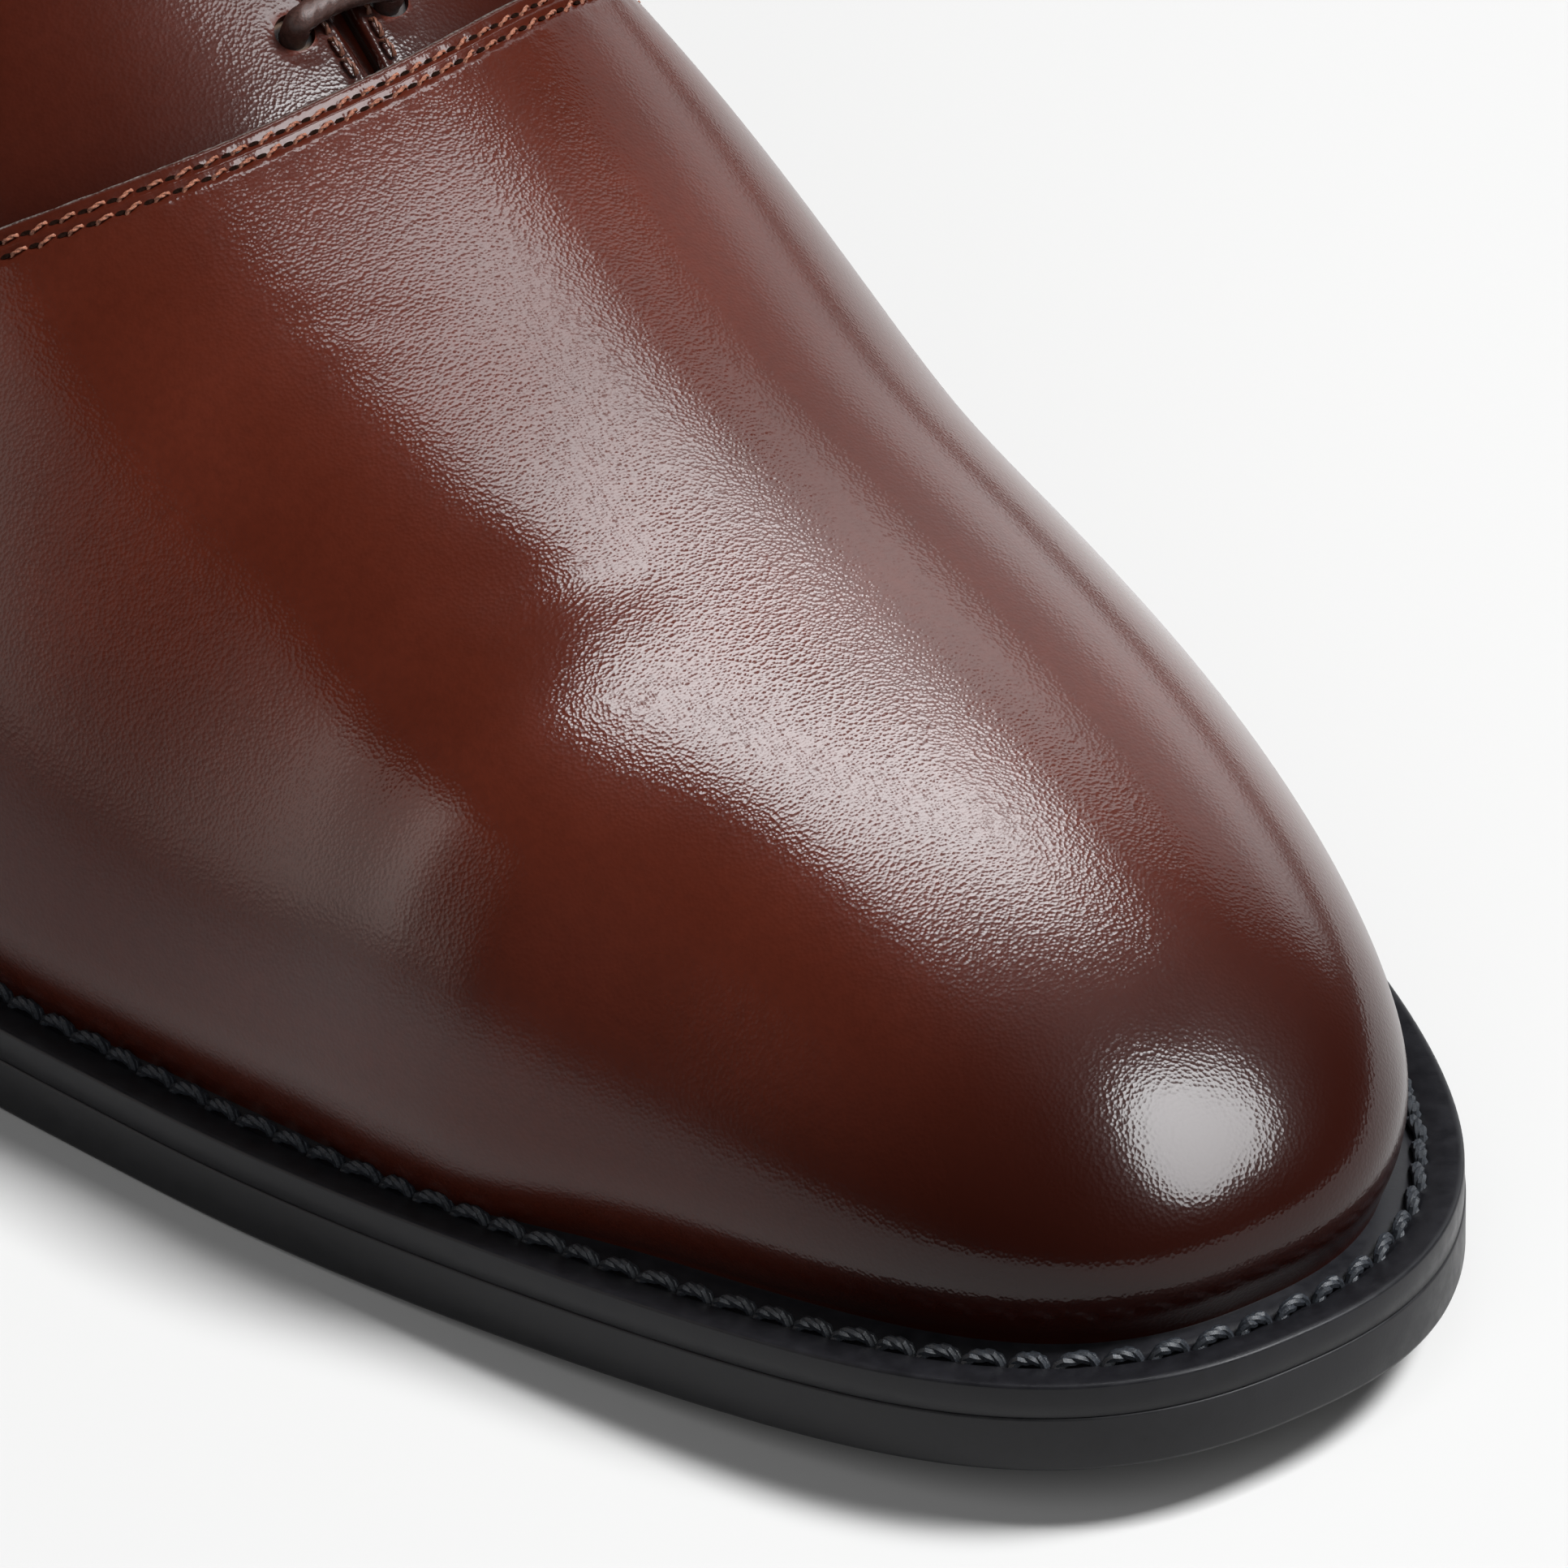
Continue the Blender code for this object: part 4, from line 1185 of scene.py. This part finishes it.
def ring_loft(rings):
    """Points and faces of a solid lofted through closed rings, capped across at both ends."""
    index = ring_index(rings)
    faces = [tuple(face) for face in grid_faces(index)]
    count = len(rings[0])
    for ring in (index[0], index[-1]):
        for i in range(count // 2):
            strip = (ring[i], ring[i + 1], ring[count - i - 1], ring[count - i])
            faces.append(tuple(dict.fromkeys(strip)))
    return np.concatenate(rings), faces


def sole_ring(inset, height):
    xs = stations(OUTLINE_COUNT, inset, LENGTH - inset)
    ring = outline_ring(xs, inset, inset)
    return np.column_stack([ring, sole_bottom(ring[:, 0]) + height])


def build_outsole(material):
    """The outsole with eased edges."""
    points, faces = ring_loft([sole_ring(inset, height) for inset, height in OUTSOLE_PROFILE])
    add_piece("outsole_edge", points, faces, material, "outsole", ("outsole",), sharp=60.0)


def build_welt(material):
    """The welt: a strip with an eased edge and a channel for its stitches."""
    rings = [sole_ring(inset, height) for inset, height in WELT_PROFILE]
    index = ring_index(rings)
    faces = grid_faces(np.concatenate([index, index[:1]]))
    add_piece("welt_strip", np.concatenate(rings), faces, material, "welt", ("welt",), sharp=60.0)


def heel_ring(inset, front, share, top):
    """The back of the outline up to the heel breast, as a closed ring at a share of the top's height."""
    xs = stations(HEEL_COUNT, inset, front)
    outer = np.column_stack([xs, edge(xs, -1, inset)])
    inner = np.column_stack([xs, edge(xs, 1, inset)])
    ring = np.concatenate([outer, inner[:0:-1]])
    return np.column_stack([ring, share * top(ring[:, 0])])


def heel_slice(low, high, layers, top):
    """Points and faces of the heel between two shares of its height, with a fine groove between layers."""
    rings = []
    shares = np.linspace(low, high, layers + 1)
    for first, second in zip(shares[:-1], shares[1:]):
        rows = [(first + away, groove) for away, groove in HEEL_GROOVE]
        rows += [(second - away, groove) for away, groove in HEEL_GROOVE[::-1]]
        for share, groove in rows:
            inset = HEEL_INSET + HEEL_TAPER * (1 - share) + groove
            front = HEEL_BREAST - HEEL_TAPER * (2 - share) - groove
            rings.append(heel_ring(inset, front, share, top))
    points = np.concatenate(rings)
    return points, tube_faces(np.arange(len(points)).reshape(1, len(rings), -1))


def build_heel(block_material, lift_material):
    """The top lift on the floor, and the layers between it and the sole."""
    lift = TOP_LIFT / HEEL_SEAT
    tread = heel_slice(0.0, lift, 1, lambda x: np.full(np.shape(x), HEEL_SEAT))
    add_piece("heel_tread", *tread, lift_material, "outsole", ("heel_top_lift",), sharp=50.0)
    stack = heel_slice(lift + GAP / HEEL_SEAT, 1.0, HEEL_LAYERS, lambda x: sole_bottom(x) - GAP)
    add_piece("heel_stack", *stack, block_material, "heel", ("heel_block",), sharp=50.0)


def build_insole(material):
    """The insole with softly rounded borders."""
    within = TUCK + WALL + INSOLE_CLEARANCE
    rings = []
    for more, height in INSOLE_PROFILE:
        inset = within + more
        xs = stations(OUTLINE_COUNT, HEEL_INSET_UPPER + inset, LENGTH - TOE_INSET_UPPER - inset)
        ring = outline_ring(xs, SECTION["outer_inset"](xs) + inset, SECTION["inner_inset"](xs) + inset)
        rings.append(np.column_stack([ring, sole_bottom(ring[:, 0]) + FEATHER + height]))
    points, faces = ring_loft(rings)
    add_piece("sock", points, faces, material, "insole", ("insole",), sharp=60.0)


# Stage, light and camera

CAMERA_AT = (0.8000, -0.4643, 0.6146)
CAMERA_AIM = (0.1092, -0.0110, 0.0487)
CAMERA_RIGHT = (0.5851, 0.8110, 0.0)
CAMERA_LENS = 303.0

COOL = (0.965, 0.985, 1.0)
WARM = (1.0, 0.89, 0.84)

# A row for each softbox: direction from the toe, width and height in degrees, radiance, shape and tint.
# The polish mirrors the tinted panels; those without a tint are fills that light the matt surfaces.
SOFTBOXES = (
    ("back_strip", (-0.244, 0.275), 7.4, 29.0, 12.4, "RECTANGLE", COOL),
    ("far_panel", (-0.35, 0.58), 9.5, 18.0, 2.4, "RECTANGLE", COOL),
    ("far_glow", (-0.42, 0.82), 26.0, 30.0, 0.8, "RECTANGLE", COOL),
    ("far_rim", (-0.46, 0.86), 28.0, 18.0, 0.7, "RECTANGLE", COOL),
    ("near_glow", (-0.33, -0.84), 12.0, 47.0, 0.5, "RECTANGLE", WARM),
    ("near_glow_wide", (-0.30, -0.85), 18.0, 48.0, 0.42, "RECTANGLE", WARM),
    ("near_glow_left", (-0.47, -0.80), 18.0, 42.0, 1.0, "RECTANGLE", WARM),
    ("toe_softbox", (0.50, 0.33), 45.0, 31.0, 15.0, "ELLIPSE", COOL),
    ("side_fill", (0.29, 0.47), 15.0, 15.0, 134.0, "RECTANGLE", None),
    ("near_fill", (0.60, -0.46), 60.0, 50.0, 2.0, "RECTANGLE", None),
)
SOFTBOX_DISTANCE = 1.6
FILL_DISTANCE = 4.0
LIT_POINT = (0.09, 0.0, 0.04)
WORLD_STRENGTH = 0.025
FLOOR_HALF = 4.0
FLOOR_COLOUR = (0.342, 0.342, 0.342)


def turned(right, back):
    """The turn whose x axis is near right and whose z axis is back."""
    back = Vector(back).normalized()
    right = Vector(right)
    right = (right - right.dot(back) * back).normalized()
    return Matrix((right, back.cross(right), back)).transposed()


def build_camera():
    data = bpy.data.cameras.new("camera")
    data.lens = CAMERA_LENS
    data.sensor_width = 36.0
    data.clip_start = 0.05
    camera = put_in_scene("camera", data)
    back = Vector(CAMERA_AT) - Vector(CAMERA_AIM)
    camera.matrix_world = Matrix.Translation(CAMERA_AT) @ turned(CAMERA_RIGHT, back).to_4x4()
    bpy.context.scene.camera = camera


def build_lights():
    for name, (x, y), width, height, radiance, shape, tint in SOFTBOXES:
        mirrored = tint is not None
        direction = Vector((x, y, math.sqrt(1 - x * x - y * y)))
        data = bpy.data.lights.new(name, "AREA")
        data.shape = shape
        distance = SOFTBOX_DISTANCE if mirrored else FILL_DISTANCE
        data.size = 2 * distance * math.tan(math.radians(width / 2))
        data.size_y = 2 * distance * math.tan(math.radians(height / 2))
        fill = math.pi / 4 if shape == "ELLIPSE" else 1.0
        data.energy = radiance * math.pi * fill * data.size * data.size_y
        if mirrored:
            data.color = tint
        light = put_in_scene(name, data)
        place = Vector(LIT_POINT) + distance * direction
        light.matrix_world = Matrix.Translation(place) @ turned((1, 0, 0), direction).to_4x4()
        light.visible_camera = False
        light.visible_glossy = mirrored
        light.visible_diffuse = not mirrored
    world = bpy.data.worlds.new("studio")
    world.use_nodes = True
    background = world.node_tree.nodes["Background"]
    background.inputs["Color"].default_value = (1.0, 1.0, 1.0, 1.0)
    background.inputs["Strength"].default_value = WORLD_STRENGTH
    bpy.context.scene.world = world


def build_floor():
    mesh = bpy.data.meshes.new("floor")
    corners = ((-1, -1), (1, -1), (1, 1), (-1, 1))
    mesh.from_pydata([(FLOOR_HALF * x, FLOOR_HALF * y, 0) for x, y in corners], [], [(0, 1, 2, 3)])
    material, _, _ = new_material("floor_white", FLOOR_COLOUR, 0.9, LOW_SPECULAR)
    mesh.materials.append(material)
    floor = put_in_scene("floor", mesh)


def main():
    leather = polished_leather("chestnut_calf")
    lining = lining_leather("tan_lining", (0.34, 0.19, 0.10), (0.25, 0.13, 0.065))
    sock = lining_leather("tan_sock", (0.36, 0.21, 0.11), (0.28, 0.155, 0.08))
    # The lighter colour of each thread and of the lace is a painted highlight on its raised fibres; the
    # black thread's is a bluish painted glint
    seam_thread = thread("copper_thread", (0.045, 0.014, 0.008), (0.26, 0.10, 0.058), 0.45)
    edge_thread = thread("brown_thread", (0.03, 0.010, 0.006), (0.12, 0.045, 0.026), 0.5)
    welt_thread = thread("black_thread", (0.003, 0.003, 0.004), (0.022, 0.026, 0.032), 0.45)
    lace = thread("waxed_lace", (0.008, 0.0036, 0.003), (0.052, 0.023, 0.018), 0.4)
    hole = shadow_black("needle_hole")
    build_vamp(leather)
    quarters = {side: quarter_surface(side) for side in (-1, 1)}
    build_quarter(-1, "quarter_outer", quarters[-1], leather)
    build_quarter(1, "quarter_inner", quarters[1], leather)
    build_lining(quarters, lining)
    build_tongue(leather)
    build_seam_stitches(seam_thread, hole)
    build_edge_stitches(quarters, edge_thread)
    build_lace(lace)
    build_welt(black_rubber("welt_black", (0.0045, 0.0045, 0.0055), 0.36))
    build_welt_stitches(welt_thread)
    build_outsole(black_rubber("sole_black", (0.0065, 0.0065, 0.0073), 0.42))
    build_heel(
        black_rubber("heel_black", (0.016, 0.015, 0.015), 0.36),
        black_rubber("lift_black", (0.015, 0.015, 0.016), 0.5),
    )
    build_insole(sock)
    build_floor()
    build_lights()
    build_camera()
    bpy.context.scene.view_settings.view_transform = "Standard"


main()
